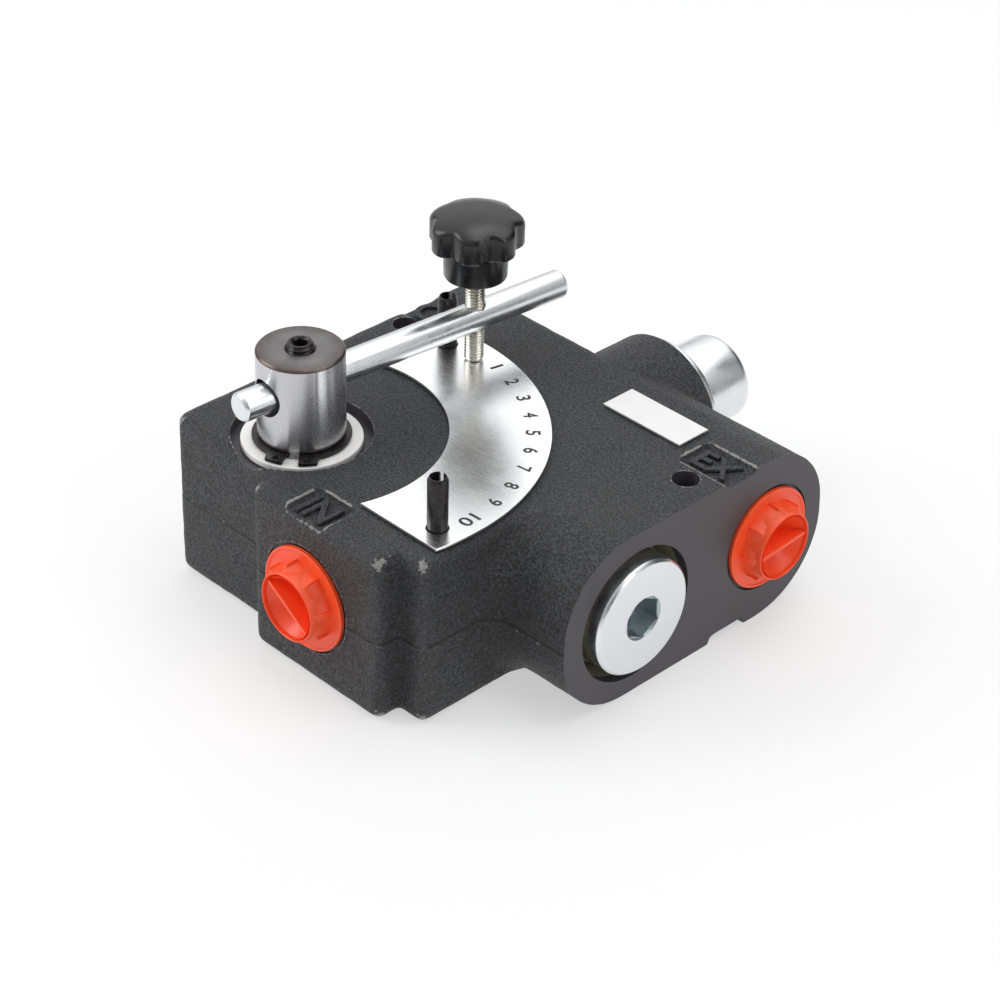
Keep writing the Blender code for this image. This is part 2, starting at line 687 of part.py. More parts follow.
def build_lock(lever):
    frame = lever.matrix_world @ Matrix.Translation((LOCK_RADIUS_OUT, 0, 0))
    axis = pivot("lock_axis", frame)
    axis.parent = lever
    axis.matrix_parent_inverse = lever.matrix_world.inverted()

    screw_top = HEAD_BOTTOM + 3 * MM
    tip = 0.6 * MM
    low, radius = LOCK_SCREW_BOTTOM, LOCK_SCREW_RADIUS
    profile = [(0, screw_top), (radius, screw_top), (radius, low + tip), (radius - tip, low), (0, low)]
    finish(turned("lock_screw", frame, profile, sides=28), "zinc_yellow", axis)

    head = slab("lock_knob", frame, [lobed_outline()], HEAD_BOTTOM, HEAD_TOP)
    drop = HEAD_TOP - HEAD_EDGE
    dome_radius = (KNOB_RADIUS**2 + drop**2) / (2 * drop)
    dome_profile = []
    half_angle = math.asin((KNOB_RADIUS + 1.5 * MM) / dome_radius)
    for i in range(9):
        angle = half_angle * i / 8
        height = HEAD_TOP - dome_radius * (1 - math.cos(angle))
        dome_profile.append((dome_radius * math.sin(angle), height))
    dome_profile += [(dome_profile[-1][0], NECK_BOTTOM - 5 * MM), (0, NECK_BOTTOM - 5 * MM)]
    dome = turned("knob_dome", frame, dome_profile, sides=48)
    combine(head, [dome], "INTERSECT")
    neck = cylinder(
        "knob_neck", frame, NECK_RADIUS - 0.3 * MM, NECK_BOTTOM, HEAD_BOTTOM + 1 * MM, 40, NECK_RADIUS
    )
    combine(head, [neck], "UNION")
    hole = cylinder(
        "knob_hole", frame, radius + GAP, NECK_BOTTOM - 2 * MM, screw_top + GAP, 28
    )
    combine(head, [hole])
    finish(head, "black_plastic", axis)


# ---------------------------------------------------------------- compensator


def build_compensator():
    frame = along(X_AXIS, (0, COMP_Y, COMP_Z))
    chamfer = 1 * MM
    profile = [(0, PLUG_FACE_X), (PLUG_HEAD_RADIUS - 0.5 * MM, PLUG_FACE_X)]
    profile += [(PLUG_HEAD_RADIUS, PLUG_FACE_X - 0.5 * MM), (PLUG_HEAD_RADIUS, PLUG_HEAD_BACK)]
    profile += [(PLUG_SHANK_RADIUS, PLUG_HEAD_BACK), (PLUG_SHANK_RADIUS, PLUG_SHANK_END + chamfer)]
    profile += [(PLUG_SHANK_RADIUS - chamfer, PLUG_SHANK_END), (0, PLUG_SHANK_END)]
    plug = turned("compensator_plug", frame, profile, sides=44)
    turn = frame @ Matrix.Rotation(math.radians(3), 4, "Z")
    socket = cylinder(
        "plug_socket",
        turn,
        HEX_KEY / math.sqrt(3),
        PLUG_FACE_X - HEX_DEPTH,
        PLUG_FACE_X + 2 * MM,
        6,
    )
    combine(plug, [socket])
    finish(plug, "zinc")
    seal = ring("plug_o_ring", frame, 16.8 * MM, 1 * MM, PLUG_SEAT_X + GAP + 1 * MM)
    finish(seal, "rubber_black")

    start, end = COMP_SPOOL_X
    land, waist, nose = 12.5 * MM, 8 * MM, 7 * MM
    profile = [(0, end), (land, end), (land, end - 14 * MM), (waist, end - 14 * MM)]
    profile += [(waist, start + 17.5 * MM), (land, start + 17.5 * MM), (land, start + 5.5 * MM)]
    profile += [(nose, start + 5.5 * MM), (nose, start), (0, start)]
    spool = turned("compensator_spool", frame, profile, sides=40)
    orifice = cylinder("spool_orifice", frame, 2.5 * MM, start - 1 * MM, end + 1 * MM, 16)
    combine(spool, [orifice])
    finish(spool, "ground_steel")
    spring = coil(
        "compensator_spring", frame, 8.6 * MM, end + GAP, PLUG_SHANK_END - GAP, 4.5, 1 * MM
    )
    finish(spring, "spring_steel")


# ---------------------------------------------------------------- relief valve


def build_relief():
    frame = along(Y_AXIS, (RELIEF_X, 0, RELIEF_Z))
    start = RELIEF_BORE_END + GAP
    seat = [(8.7 * MM, start + 6 * MM), (8.7 * MM, start), (3 * MM, start), (3 * MM, start + 5 * MM)]
    seat += [(4 * MM, start + 6 * MM)]
    finish(turned("relief_seat", frame, seat, closed=True, sides=36), "ground_steel")

    cone_tip, cone_base = start + 5.4 * MM, start + 8 * MM
    profile = [(0, 97 * MM), (2.6 * MM, 97 * MM), (2.6 * MM, 91 * MM), (6 * MM, 91 * MM)]
    profile += [(6 * MM, cone_base + 1 * MM), (5 * MM, cone_base), (0, cone_tip)]
    finish(turned("relief_poppet", frame, profile, sides=28), "ground_steel")
    spring = coil("relief_spring", frame, 4.1 * MM, 91 * MM + GAP, 112 * MM - GAP, 6, 0.7 * MM, 10)
    finish(spring, "spring_steel")

    low, flange_low = 98 * MM, RELIEF_FACE_Y + GAP
    stub_end, inner = 130 * MM, 6.2 * MM
    profile = [(8 * MM, stub_end), (8 * MM, CAP_FLANGE_END), (CAP_FLANGE_RADIUS - 0.6 * MM, CAP_FLANGE_END)]
    profile += [(CAP_FLANGE_RADIUS, CAP_FLANGE_END - 0.6 * MM), (CAP_FLANGE_RADIUS, flange_low)]
    profile += [(10.7 * MM, flange_low), (10.7 * MM, low), (inner, low), (inner, stub_end)]
    finish(turned("relief_plug", frame, profile, closed=True, sides=44), "zinc")
    seal = ring("relief_o_ring", frame, 12.2 * MM, 0.9 * MM, RELIEF_FACE_Y - 1 * MM)
    finish(seal, "rubber_black")

    profile = [(0, 137 * MM), (4.4 * MM, 137 * MM), (4.4 * MM, 124 * MM), (5.9 * MM, 124 * MM)]
    profile += [(5.9 * MM, 112 * MM), (0, 112 * MM)]
    adjuster = turned("relief_adjuster", frame, profile, sides=28)
    slot = block("adjuster_slot", (-6 * MM, -0.6 * MM, 135 * MM), (6 * MM, 0.6 * MM, 140 * MM))
    slot.matrix_world = frame @ slot.matrix_world
    combine(adjuster, [slot])
    finish(adjuster, "zinc")

    nut = cylinder("relief_locknut", frame, 8 * MM, stub_end + GAP, stub_end + 4 * MM, 6)
    bore = cylinder("locknut_bore", frame, 4.4 * MM + GAP, stub_end - 1 * MM, stub_end + 6 * MM, 28)
    combine(nut, [bore])
    finish(nut, "zinc")

    low, hollow = CAP_FLANGE_END + GAP, 8.4 * MM
    edge = 1.2 * MM
    profile = [(0, CAP_END), (CAP_RADIUS - edge, CAP_END), (CAP_RADIUS, CAP_END - edge)]
    profile += [(CAP_RADIUS, low), (hollow, low), (hollow, 138.5 * MM), (0, 138.5 * MM)]
    finish(turned("relief_cap", frame, profile, sides=44), "zinc")


# ---------------------------------------------------------------- shipping plugs


def build_shipping_plug(name, port, web_angle):
    """An orange plastic plug: a wide plate, a collar with grip ribs, a hollow with a web, and a spigot."""
    floor = GAP
    plate = floor + CAP_PLATE_THICKNESS
    wall_bottom = -CAP_SPIGOT
    spigot = PORT_RADIUS - GAP
    hollow_bottom = wall_bottom + 1.5 * MM
    profile = [(CAP_HOLLOW_RADIUS, CAP_HEIGHT), (CAP_RIM_RADIUS, CAP_HEIGHT)]
    profile += [(CAP_COLLAR_RADIUS, plate), (CAP_PLATE_RADIUS, plate), (CAP_PLATE_RADIUS, floor)]
    profile += [(spigot, floor), (spigot - 0.4 * MM, wall_bottom), (0, wall_bottom)]
    profile += [(0, hollow_bottom), (8.2 * MM, hollow_bottom), (8.2 * MM, 0), (CAP_HOLLOW_RADIUS, plate)]
    cap = turned(name, port, profile, closed=True, sides=36)
    web = block(
        name + "_web",
        (-9.2 * MM, -0.7 * MM, hollow_bottom - 0.5 * MM),
        (9.2 * MM, 0.7 * MM, CAP_HEIGHT - 0.6 * MM),
    )
    web.matrix_world = port @ Matrix.Rotation(math.radians(web_angle), 4, "Z") @ web.matrix_world
    slim = cylinder(name + "_web_end", port, 8.6 * MM, hollow_bottom - 1 * MM, 0.5 * MM)
    wide = cylinder(name + "_web_top", port, 10.1 * MM, 0, CAP_HEIGHT)
    combine(slim, [wide], "UNION")
    combine(web, [slim], "INTERSECT")
    combine(cap, [web], "UNION")
    ribs = []
    for i in range(8):
        rib = block(
            f"{name}_rib_{i}",
            (10 * MM, -0.35 * MM, plate - 0.3 * MM),
            (12.6 * MM, 0.35 * MM, CAP_HEIGHT - 1.5 * MM),
        )
        turn = Matrix.Rotation(math.radians(web_angle + 45 * i + 12), 4, "Z")
        rib.matrix_world = port @ turn @ rib.matrix_world
        ribs.append(rib)
    combine(cap, ribs, "UNION")
    finish(cap, "orange_plastic")


def build_shipping_plugs():
    depth = SPOTFACE_DEPTH
    places = {
        "in_shipping_plug": (along((0, -1, 0), (IN_X, BOSS_FACE_Y + depth, PORT_Z)), 40),
        "ex_shipping_plug": (along(X_AXIS, (EX_FACE_X - depth, EX_Y, PORT_Z)), 110),
        "cf_shipping_plug": (along((-1, 0, 0), (CF_FACE_X + depth, CF_Y, PORT_Z)), 70),
    }
    for name, (port, web_angle) in places.items():
        build_shipping_plug(name, port, web_angle)


clear_scene()
parts = new_collection("Flow control valve")
cutters = new_collection("Cutters")
materials = {name: principled(name, *look) for name, look in MATERIALS.items()}
lever_axis = pivot("lever_axis", Matrix.Rotation(math.radians(LEVER_ANGLE), 4, "Z"))

build_casting()
build_rotary_spool(lever_axis)
build_on_spool(lever_axis)
build_stops()
build_dial()
build_lock(lever_axis)
build_compensator()
build_relief()
build_shipping_plugs()
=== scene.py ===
import math

import bmesh
import bpy
import numpy as np
from mathutils import Matrix, Vector, noise


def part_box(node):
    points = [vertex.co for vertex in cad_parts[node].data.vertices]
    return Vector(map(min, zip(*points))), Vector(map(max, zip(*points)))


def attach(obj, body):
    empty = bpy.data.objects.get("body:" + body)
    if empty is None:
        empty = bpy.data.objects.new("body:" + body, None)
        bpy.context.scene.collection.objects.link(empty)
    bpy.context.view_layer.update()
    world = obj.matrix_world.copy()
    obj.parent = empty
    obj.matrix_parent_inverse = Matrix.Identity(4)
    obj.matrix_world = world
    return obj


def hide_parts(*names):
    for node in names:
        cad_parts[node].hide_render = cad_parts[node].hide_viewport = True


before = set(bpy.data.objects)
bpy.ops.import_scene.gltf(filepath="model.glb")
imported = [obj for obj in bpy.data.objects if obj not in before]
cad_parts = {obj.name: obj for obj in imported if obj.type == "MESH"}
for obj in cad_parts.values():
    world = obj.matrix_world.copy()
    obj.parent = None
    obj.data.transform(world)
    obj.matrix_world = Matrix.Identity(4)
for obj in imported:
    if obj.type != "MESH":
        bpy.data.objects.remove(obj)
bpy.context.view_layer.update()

MM = 0.001
BODY = "valve_body"
X_AXIS, Y_AXIS = (1, 0, 0), (0, 1, 0)
COLLECTION = bpy.context.scene.collection

# Places taken from the CAD parts in model.glb
CAST_LOW, CAST_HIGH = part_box("body_casting")
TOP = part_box("dial_plate")[0].z - 0.3 * MM
HUB_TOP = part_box("rotary_spool")[1].z
SPOOL_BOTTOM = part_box("rotary_spool")[0].z
WASHER_LOW, WASHER_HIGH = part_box("thrust_washer")
CLIP_LOW, CLIP_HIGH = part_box("circlip")
ROD_LOW, ROD_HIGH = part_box("lever_rod")
SCREW_LOW, SCREW_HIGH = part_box("lock_screw")
KNOB_LOW, KNOB_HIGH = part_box("lock_knob")
PLUG_LOW, PLUG_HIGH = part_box("compensator_plug")
CAP_LOW, CAP_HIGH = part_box("relief_cap")
SEAT_LOW, SEAT_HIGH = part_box("relief_plug")
EX_FACE_X = CAST_HIGH.x
IN_FACE_Y = CAST_LOW.y
CF_FACE_X = CAST_LOW.x
ROD_Z = (ROD_LOW.z + ROD_HIGH.z) / 2
HUB_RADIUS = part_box("rotary_spool")[1].x
COMP_Y, COMP_Z = (PLUG_LOW.y + PLUG_HIGH.y) / 2, (PLUG_LOW.z + PLUG_HIGH.z) / 2
RELIEF_X, RELIEF_Z = (CAP_LOW.x + CAP_HIGH.x) / 2, (CAP_LOW.z + CAP_HIGH.z) / 2
LOCK = Vector(((SCREW_LOW.x + SCREW_HIGH.x) / 2, (SCREW_LOW.y + SCREW_HIGH.y) / 2, 0))
LEVER_ANGLE = math.degrees(math.atan2(LOCK.y, LOCK.x))

# Casting
BLOCK_X, BLOCK_Y = (CF_FACE_X, 74 * MM), (-21 * MM, 97 * MM)
BOSS_X = (10.5 * MM, 64.5 * MM)
BARREL_Y = (5.8 * MM, 114.4 * MM)
BARREL_ROUND_LEFT, BARREL_ROUND_RIGHT = 25 * MM, 26 * MM
FLARE = 8 * MM
CAST_ROUND = 3 * MM
RELIEF_FACE_Y, RELIEF_BOSS_RADIUS = 116 * MM, 23.5 * MM
PARTING_Z = 26.5 * MM
VOXEL = 0.7 * MM
MARK_DEPTH = 1.8 * MM
MARKS = {  # each pocket's two corners, then its letters' two corners
    "IN": ((25.5 * MM, -32 * MM), (40.5 * MM, -15.5 * MM), (27.4 * MM, -26.8 * MM), (38.2 * MM, -17.4 * MM)),
    "EX": ((83.5 * MM, 70.5 * MM), (106 * MM, 83 * MM), (85.6 * MM, 72.4 * MM), (99.2 * MM, 81 * MM)),
    "CF": ((-36 * MM, 68.6 * MM), (-15 * MM, 83 * MM), (-31 * MM, 70.6 * MM), (-17.2 * MM, 80.8 * MM)),
}

# Ports
PORT_Z, IN_X, EX_Y, CF_Y = 27.5 * MM, 33.8 * MM, 90.5 * MM, 80 * MM
PORT_RADIUS, PORT_DEPTH, SPOTFACE_RADIUS, SPOTFACE_DEPTH = 9.6 * MM, 19 * MM, 17.2 * MM, 1 * MM
CF_SPOTFACE_RADIUS = 16.8 * MM
SPOOL_BORE_RADIUS = 12.8 * MM
MOUNT_HOLES, MOUNT_HOLE_RADIUS = ((92 * MM, 64 * MM), (-25 * MM, 64 * MM)), 4.15 * MM


# ------------ shader building


class Graph:
    """Short ways of adding nodes to a node tree."""

    def __init__(self, owner):
        owner.use_nodes = True
        self.tree = owner.node_tree

    def feed(self, socket, value):
        """Links another node's output to the socket, or writes a plain value into it."""
        if isinstance(value, bpy.types.NodeSocket):
            self.tree.links.new(value, socket)
        else:
            socket.default_value = value

    def add(self, kind, **inputs):
        node = self.tree.nodes.new(kind)
        for name, value in inputs.items():
            self.feed(node.inputs[name.replace("_", " ")], value)
        return node

    def ramp(self, value, *stops):
        """Maps a value to numbers or colours at the given stops."""
        node = self.add("ShaderNodeValToRGB", Fac=value)
        points = node.color_ramp.elements
        while len(points) < len(stops):
            points.new(0.5)
        for point, (position, colour) in zip(points, stops):
            point.position = position
            point.color = (colour,) * 3 + (1,) if isinstance(colour, float) else (*colour, 1)
        return node.outputs["Color"]

    def maths(self, operation, first, second=0.0):
        node = self.tree.nodes.new("ShaderNodeMath")
        node.operation = operation
        for socket, value in zip(node.inputs, (first, second)):
            self.feed(socket, value)
        return node.outputs["Value"]

    def mix(self, factor, first, second, blend="MIX"):
        node = self.tree.nodes.new("ShaderNodeMix")
        node.data_type = "RGBA"
        node.blend_type = blend
        for index, value in ((0, factor), (6, first), (7, second)):
            self.feed(node.inputs[index], (*value, 1) if isinstance(value, tuple) else value)
        return node.outputs[2]


class Shader(Graph):
    """A Principled material and short ways of giving it patterns, sized in millimetres."""

    def __init__(self, name, colour, roughness, metallic=0.0, **sockets):
        self.material = bpy.data.materials.new(name)
        super().__init__(self.material)
        self.surface = self.tree.nodes["Principled BSDF"]
        self.set("Base Color", (*colour, 1))
        self.set("Roughness", roughness)
        self.set("Metallic", metallic)
        for socket, value in sockets.items():
            self.set(socket.replace("_", " "), value)
        self.place = self.add("ShaderNodeTexCoord").outputs["Object"]
        self.normal = None

    def set(self, socket, value):
        self.feed(self.surface.inputs[socket], value)

    def stretched(self, scale):
        """Coordinates in millimetres, multiplied by a scale along each axis."""
        node = self.add("ShaderNodeMapping", Vector=self.place)
        node.inputs["Scale"].default_value = Vector(scale) / MM
        return node.outputs["Vector"]

    def grain(self, size, detail=3.0, rough=0.5, squash=(1, 1, 1)):
        """Noise whose lumps are about `size` millimetres across."""
        scale = Vector(squash) / size
        node = self.add("ShaderNodeTexNoise", Vector=self.stretched(scale), Scale=1.0, Detail=detail)
        node.inputs["Roughness"].default_value = rough
        return node.outputs["Fac"]

    def cells(self, size):
        """Rounded pits about `size` millimetres across."""
        scale = Vector((1, 1, 1)) / size
        node = self.add("ShaderNodeTexVoronoi", Vector=self.stretched(scale), Scale=1.0)
        return node.outputs["Distance"]

    def bump(self, height, distance, strength=1.0):
        """Adds a bump whose full height is `distance` millimetres."""
        node = self.add("ShaderNodeBump", Height=height, Distance=distance * MM, Strength=strength)
        if self.normal:
            self.feed(node.inputs["Normal"], self.normal)
        self.normal = node.outputs["Normal"]
        self.set("Normal", self.normal)

    def split(self):
        return self.add("ShaderNodeSeparateXYZ", Vector=self.place).outputs


def clouded(name, colour, roughness, cloud, shades, fine, depth, metallic=0.0, shine=None, **sockets):
    """A material that drifts between two shades, or also two roughnesses, with a fine bump."""
    s = Shader(name, colour, roughness, metallic, **sockets)
    drift = s.grain(*cloud)
    s.set("Base Color", s.mix(drift, *shades))
    if shine:
        s.set("Roughness", s.ramp(drift, (0.3, shine[0]), (0.7, shine[1])))
    s.bump(s.grain(*fine), *depth)
    return s.material


def cast_paint():
    """Black paint on sand-cast iron, chipped at worn edges, with a dark line along the parting line that is
    painted shadow of its small step.
    """
    s = Shader("black_cast_paint", (0.03, 0.03, 0.032), 0.5, Specular_IOR_Level=0.5)
    sand = s.grain(0.75, 4, 0.65)
    pits = s.cells(1.3)
    lumps = s.grain(7, 3)
    base = s.ramp(sand, (0.43, (0.009, 0.009, 0.010)), (0.62, (0.072, 0.075, 0.083)))
    dusty = s.ramp(s.grain(16, 4, 0.6), (0.35, 0.0), (0.75, 1.0))
    base = s.mix(s.maths("MULTIPLY", dusty, 0.35), base, (0.052, 0.049, 0.047))
    worn = s.add("ShaderNodeAttribute")
    worn.attribute_name = "edge"
    chipped = s.maths("GREATER_THAN", s.maths("ADD", worn.outputs["Fac"], s.grain(1.3, 5, 0.7)), 1.01)
    base = s.mix(s.maths("MULTIPLY", worn.outputs["Fac"], 0.3), base, (0.11, 0.11, 0.115))
    base = s.mix(s.maths("MULTIPLY", chipped, 0.8), base, (0.36, 0.36, 0.35))
    s.set("Roughness", s.ramp(sand, (0.3, 0.62), (0.7, 0.42)))
    s.bump(sand, 1.1, 1.0)
    s.bump(s.ramp(pits, (0.0, 0.0), (0.35, 1.0)), 0.14, 0.7)
    s.bump(lumps, 0.5, 0.35)
    sway, line_width = 0.8 * MM, 0.4 * MM
    wander = s.maths("MULTIPLY", s.grain(9, 3), sway)
    offset = s.maths("SUBTRACT", s.maths("ADD", s.split()["Z"], wander), PARTING_Z + sway / 2)
    ridge = s.maths("DIVIDE", line_width, s.maths("ADD", s.maths("ABSOLUTE", offset), line_width))
    s.bump(ridge, 0.5, 0.9)
    # The darkest shade along the parting line is painted shadow of the casting's small step there.
    s.set("Base Color", s.mix(s.ramp(ridge, (0.35, 0.0), (0.6, 0.85)), base, (0.006, 0.006, 0.006)))
    return s.material


def machined_paint():
    s = Shader("machined_paint", (0.050, 0.046, 0.050), 0.42, Specular_IOR_Level=0.5)
    cloud = s.grain(12, 4, 0.6)
    speck = s.grain(0.5, 3, 0.6)
    base = s.mix(s.ramp(cloud, (0.35, 0.0), (0.7, 1.0)), (0.044, 0.041, 0.047), (0.060, 0.055, 0.063))
    base = s.mix(s.ramp(speck, (0.55, 0.0), (0.8, 0.5)), base, (0.085, 0.08, 0.088))
    s.set("Base Color", base)
    s.set("Roughness", s.ramp(cloud, (0.3, 0.36), (0.7, 0.5)))
    s.bump(speck, 0.03, 0.5)
    return s.material


def bare_seat():
    # Bare iron's beige, made darker than bare iron as painted shade in the counterbore round the plug.
    shades = ((0.26, 0.235, 0.16), (0.20, 0.18, 0.12))
    return clouded("bare_iron_seat", (0.42, 0.38, 0.27), 0.45, (3, 4), shades, (0.4, 3), (0.05, 0.5), 0.35)


def ground_steel():
    """Steel ground round its axis, brown near the washer and on its turned top, whose rim is darkened as a
    painted reflection.
    """
    s = Shader("ground_steel", (0.55, 0.55, 0.56), 0.24, 1.0)
    lines = s.grain(0.25, 2, 0.5)
    parts = s.split()
    height = parts["Z"]
    squares = [s.maths("POWER", parts[axis], 2.0) for axis in "XY"]
    radius = s.maths("SQRT", s.maths("ADD", *squares))
    brown_blotches = s.ramp(s.grain(2.2, 5, 0.65), (0.35, 0.0), (0.75, 1.0))
    # Darker and browner towards the washer, in blotches.
    low = s.maths("DIVIDE", s.maths("SUBTRACT", TOP + 7 * MM, height), 9 * MM)
    low = s.maths("MULTIPLY", s.maths("MAXIMUM", s.maths("MINIMUM", low, 1.0), 0.0), brown_blotches)
    colour = s.mix(s.maths("MULTIPLY", low, 0.8), (0.58, 0.58, 0.60), (0.30, 0.26, 0.23))
    on_top = s.maths("GREATER_THAN", height, HUB_TOP - 0.9 * MM)
    ringed = s.maths("SINE", s.maths("MULTIPLY", radius, 2 * math.pi / (0.55 * MM)))
    # The turned top darkens towards its rim: a painted reflection.
    rim = s.maths("MAXIMUM", s.maths("DIVIDE", s.maths("SUBTRACT", radius, 8 * MM), 5 * MM), 0.0)
    top = s.mix(rim, (0.19, 0.187, 0.192), (0.11, 0.088, 0.08))
    top = s.mix(s.maths("MULTIPLY", brown_blotches, 0.35), top, (0.24, 0.21, 0.19))
    s.set("Base Color", s.mix(on_top, colour, top))
    s.set("Roughness", s.mix(on_top, s.ramp(lines, (0.3, 0.22), (0.7, 0.30)), (0.36, 0.36, 0.36)))
    s.bump(s.maths("MULTIPLY", on_top, ringed), 0.012, 0.6)
    s.bump(lines, 0.004, 0.3)
    around = s.add("ShaderNodeTangent")
    around.direction_type = "RADIAL"
    around.axis = "Z"
    s.set("Tangent", around.outputs["Tangent"])
    s.set("Anisotropic", 0.85)
    s.set("Anisotropic Rotation", 0.25)
    return s.material


def inner_steel():
    s = Shader("inner_steel", (0.45, 0.45, 0.46), 0.25, 1.0)
    s.set("Roughness", s.ramp(s.grain(0.4, 2, 0.6, (1, 1, 0.06)), (0.3, 0.18), (0.7, 0.34)))
    return s.material


def zinc(name="bright_zinc", tint=(0.80, 0.83, 0.85), dark=(0.70, 0.735, 0.76), rough=(0.24, 0.34)):
    s = Shader(name, tint, 0.3, 1.0)
    mottle = s.grain(0.5, 4, 0.7)
    cloud = s.grain(6, 3)
    s.set("Base Color", s.mix(s.ramp(mottle, (0.34, 0.7), (0.55, 0.0)), tint, dark))
    s.set("Roughness", s.ramp(cloud, (0.3, rough[0]), (0.7, rough[1])))
    s.bump(mottle, 0.004, 0.5)
    return s.material


def black_oxide():
    s = Shader("black_oxide", (0.02, 0.02, 0.022), 0.3, 0.6)
    cloud = s.grain(2, 5, 0.65)
    brown = s.ramp(cloud, (0.45, 0.0), (0.8, 1.0))
    s.set("Base Color", s.mix(brown, (0.022, 0.022, 0.024), (0.07, 0.055, 0.05)))
    s.set("Roughness", s.ramp(cloud, (0.3, 0.22), (0.7, 0.42)))
    s.bump(s.grain(0.35), 0.015, 0.5)
    return s.material


def black_plastic():
    shades = ((0.006, 0.006, 0.007), (0.012, 0.012, 0.013))
    return clouded(
        "black_plastic", (0.008, 0.008, 0.009), 0.22, (3, 4), shades, (0.5, 3), (0.02, 0.4),
        shine=(0.22, 0.32), Specular_IOR_Level=0.5,
    )


def nylon():
    shades = ((0.90, 0.90, 0.88), (0.80, 0.79, 0.76))
    return clouded(
        "white_nylon", (0.86, 0.86, 0.84), 0.42, (4, 4), shades, (0.8, 3), (0.02, 0.5),
        Subsurface_Weight=0.2, Subsurface_Scale=0.001,
    )


def brushed_aluminium():
    s = Shader("brushed_aluminium", (0.83, 0.84, 0.85), 0.32, 1.0)
    brush = s.grain(0.16, 3, 0.7, (0.03, 1, 1))
    cloud = s.grain(14, 3)
    s.set("Base Color", s.mix(brush, (0.88, 0.89, 0.90), (0.97, 0.97, 0.98)))
    uneven = s.maths("ADD", s.maths("MULTIPLY", brush, 0.6), s.maths("MULTIPLY", cloud, 0.4))
    s.set("Roughness", s.ramp(uneven, (0.3, 0.20), (0.7, 0.32)))
    s.bump(brush, 0.008, 0.6)
    return s.material


def label_face():
    shades = ((0.78, 0.78, 0.78), (0.70, 0.70, 0.70))
    return clouded("label_face", (0.84, 0.84, 0.84), 0.38, (5, 4), shades, (2.5, 2), (0.05, 0.4), 0.55)


def ink():
    s = Shader("engraved_ink", (0.012, 0.012, 0.012), 0.5)
    s.set("Base Color", s.mix(s.grain(0.8, 3), (0.008, 0.008, 0.008), (0.03, 0.03, 0.03)))
    return s.material


def orange_plastic():
    shades = ((0.96, 0.078, 0.016), (1.0, 0.112, 0.030))
    return clouded(
        "orange_plastic", (0.86, 0.075, 0.02), 0.34, (5, 3), shades, (0.7, 3), (0.02, 0.4),
        shine=(0.28, 0.42), Subsurface_Weight=0.12, Subsurface_Scale=0.002,
        Subsurface_Radius=(1.0, 0.25, 0.1),
    )


def rubber():
    shades = ((0.012, 0.012, 0.012), (0.03, 0.03, 0.03))
    return clouded("black_rubber", (0.015, 0.015, 0.015), 0.6, (1.5, 3), shades, (0.4, 3), (0.02, 0.5))


# ------------ mesh building


def spun(degrees):
    return Matrix.Rotation(math.radians(degrees), 4, "Z")


def along(axis, origin=(0, 0, 0)):
    """A matrix with local +Z on the axis and local zero at the origin."""
    turn = Vector((0, 0, 1)).rotation_difference(Vector(axis)).to_matrix().to_4x4()
    return Matrix.Translation(origin) @ turn


def add_object(name, shape, place=None):
    """An object made from a bmesh, which is then freed."""
    mesh = bpy.data.meshes.new(name)
    bmesh.ops.recalc_face_normals(shape, faces=shape.faces)
    shape.to_mesh(mesh)
    shape.free()
    obj = bpy.data.objects.new(name, mesh)
    obj.matrix_world = place or Matrix()
    COLLECTION.objects.link(obj)
    return obj


def baked(obj):
    """Replaces an object's mesh, or a curve object, with its evaluated mesh."""
    bpy.context.view_layer.update()
    graph = bpy.context.evaluated_depsgraph_get()
    mesh = bpy.data.meshes.new_from_object(obj.evaluated_get(graph))
    if obj.type == "MESH":
        obj.modifiers.clear()
        obj.data = mesh
        return obj
    name, place = obj.name, obj.matrix_world.copy()
    bpy.data.objects.remove(obj)
    made = bpy.data.objects.new(name, mesh)
    made.matrix_world = place
    COLLECTION.objects.link(made)
    return made


def softened(points, radius, closed=False):
    """The outline with each corner replaced by a short curve."""
    steps, nearly_straight = 3, math.radians(172)
    points = [Vector(p) for p in points]
    count = len(points)
    made = []
    for i, corner in enumerate(points):
        before, after = points[i - 1], points[(i + 1) % count]
        if not closed and i in (0, count - 1):
            made.append(corner)
            continue
        back, ahead = before - corner, after - corner
        reach = min(radius, back.length * 0.45, ahead.length * 0.45)
        if back.angle(ahead, math.pi) > nearly_straight:
            made.append(corner)
            continue
        start, end = corner + back.normalized() * reach, corner + ahead.normalized() * reach
        for step in range(steps + 1):
            t = step / steps
            made.append(start * (1 - t) ** 2 + corner * 2 * t * (1 - t) + end * t**2)
    return [tuple(p) for p in made]


def loft(name, rings, place=None, closed=False):
    """Skins a list of rings. A ring of one point is a pole, and all the others have equal counts."""
    shape = bmesh.new()
    made = [[shape.verts.new(point) for point in ring] for ring in rings]
    sides = max(len(ring) for ring in made)
    pairs = list(zip(made, made[1:]))
    if closed:
        pairs.append((made[-1], made[0]))
    for upper, lower in pairs:
        for i in range(sides):
            j = (i + 1) % sides
            around = [(upper, i), (lower, i), (lower, j), (upper, j)]
            corners = list(dict.fromkeys(ring[index % len(ring)] for ring, index in around))
            if len(corners) > 2:
                shape.faces.new(corners)
    return add_object(name, shape, place)


def lathe(name, place, profile, closed=False, sides=96, soft=0.0):
    """A turned piece about local Z, from (radius, height) points."""
    if soft:
        profile = softened(profile, soft, closed)
    rings = []
    for radius, height in profile:
        count = sides if radius > 1e-7 else 1
        turns = [2 * math.pi * i / sides for i in range(count)]
        rings.append([(radius * math.cos(a), radius * math.sin(a), height) for a in turns])
    return loft(name, rings, place, closed)


def rod(name, place, radius, start, end, sides=64, end_radius=None):
    """A plain cylinder or cone about local Z, used as a cutter or joined to others."""
    far = radius if end_radius is None else end_radius
    return lathe(name, place, [(0, start), (radius, start), (far, end), (0, end)], sides=sides)


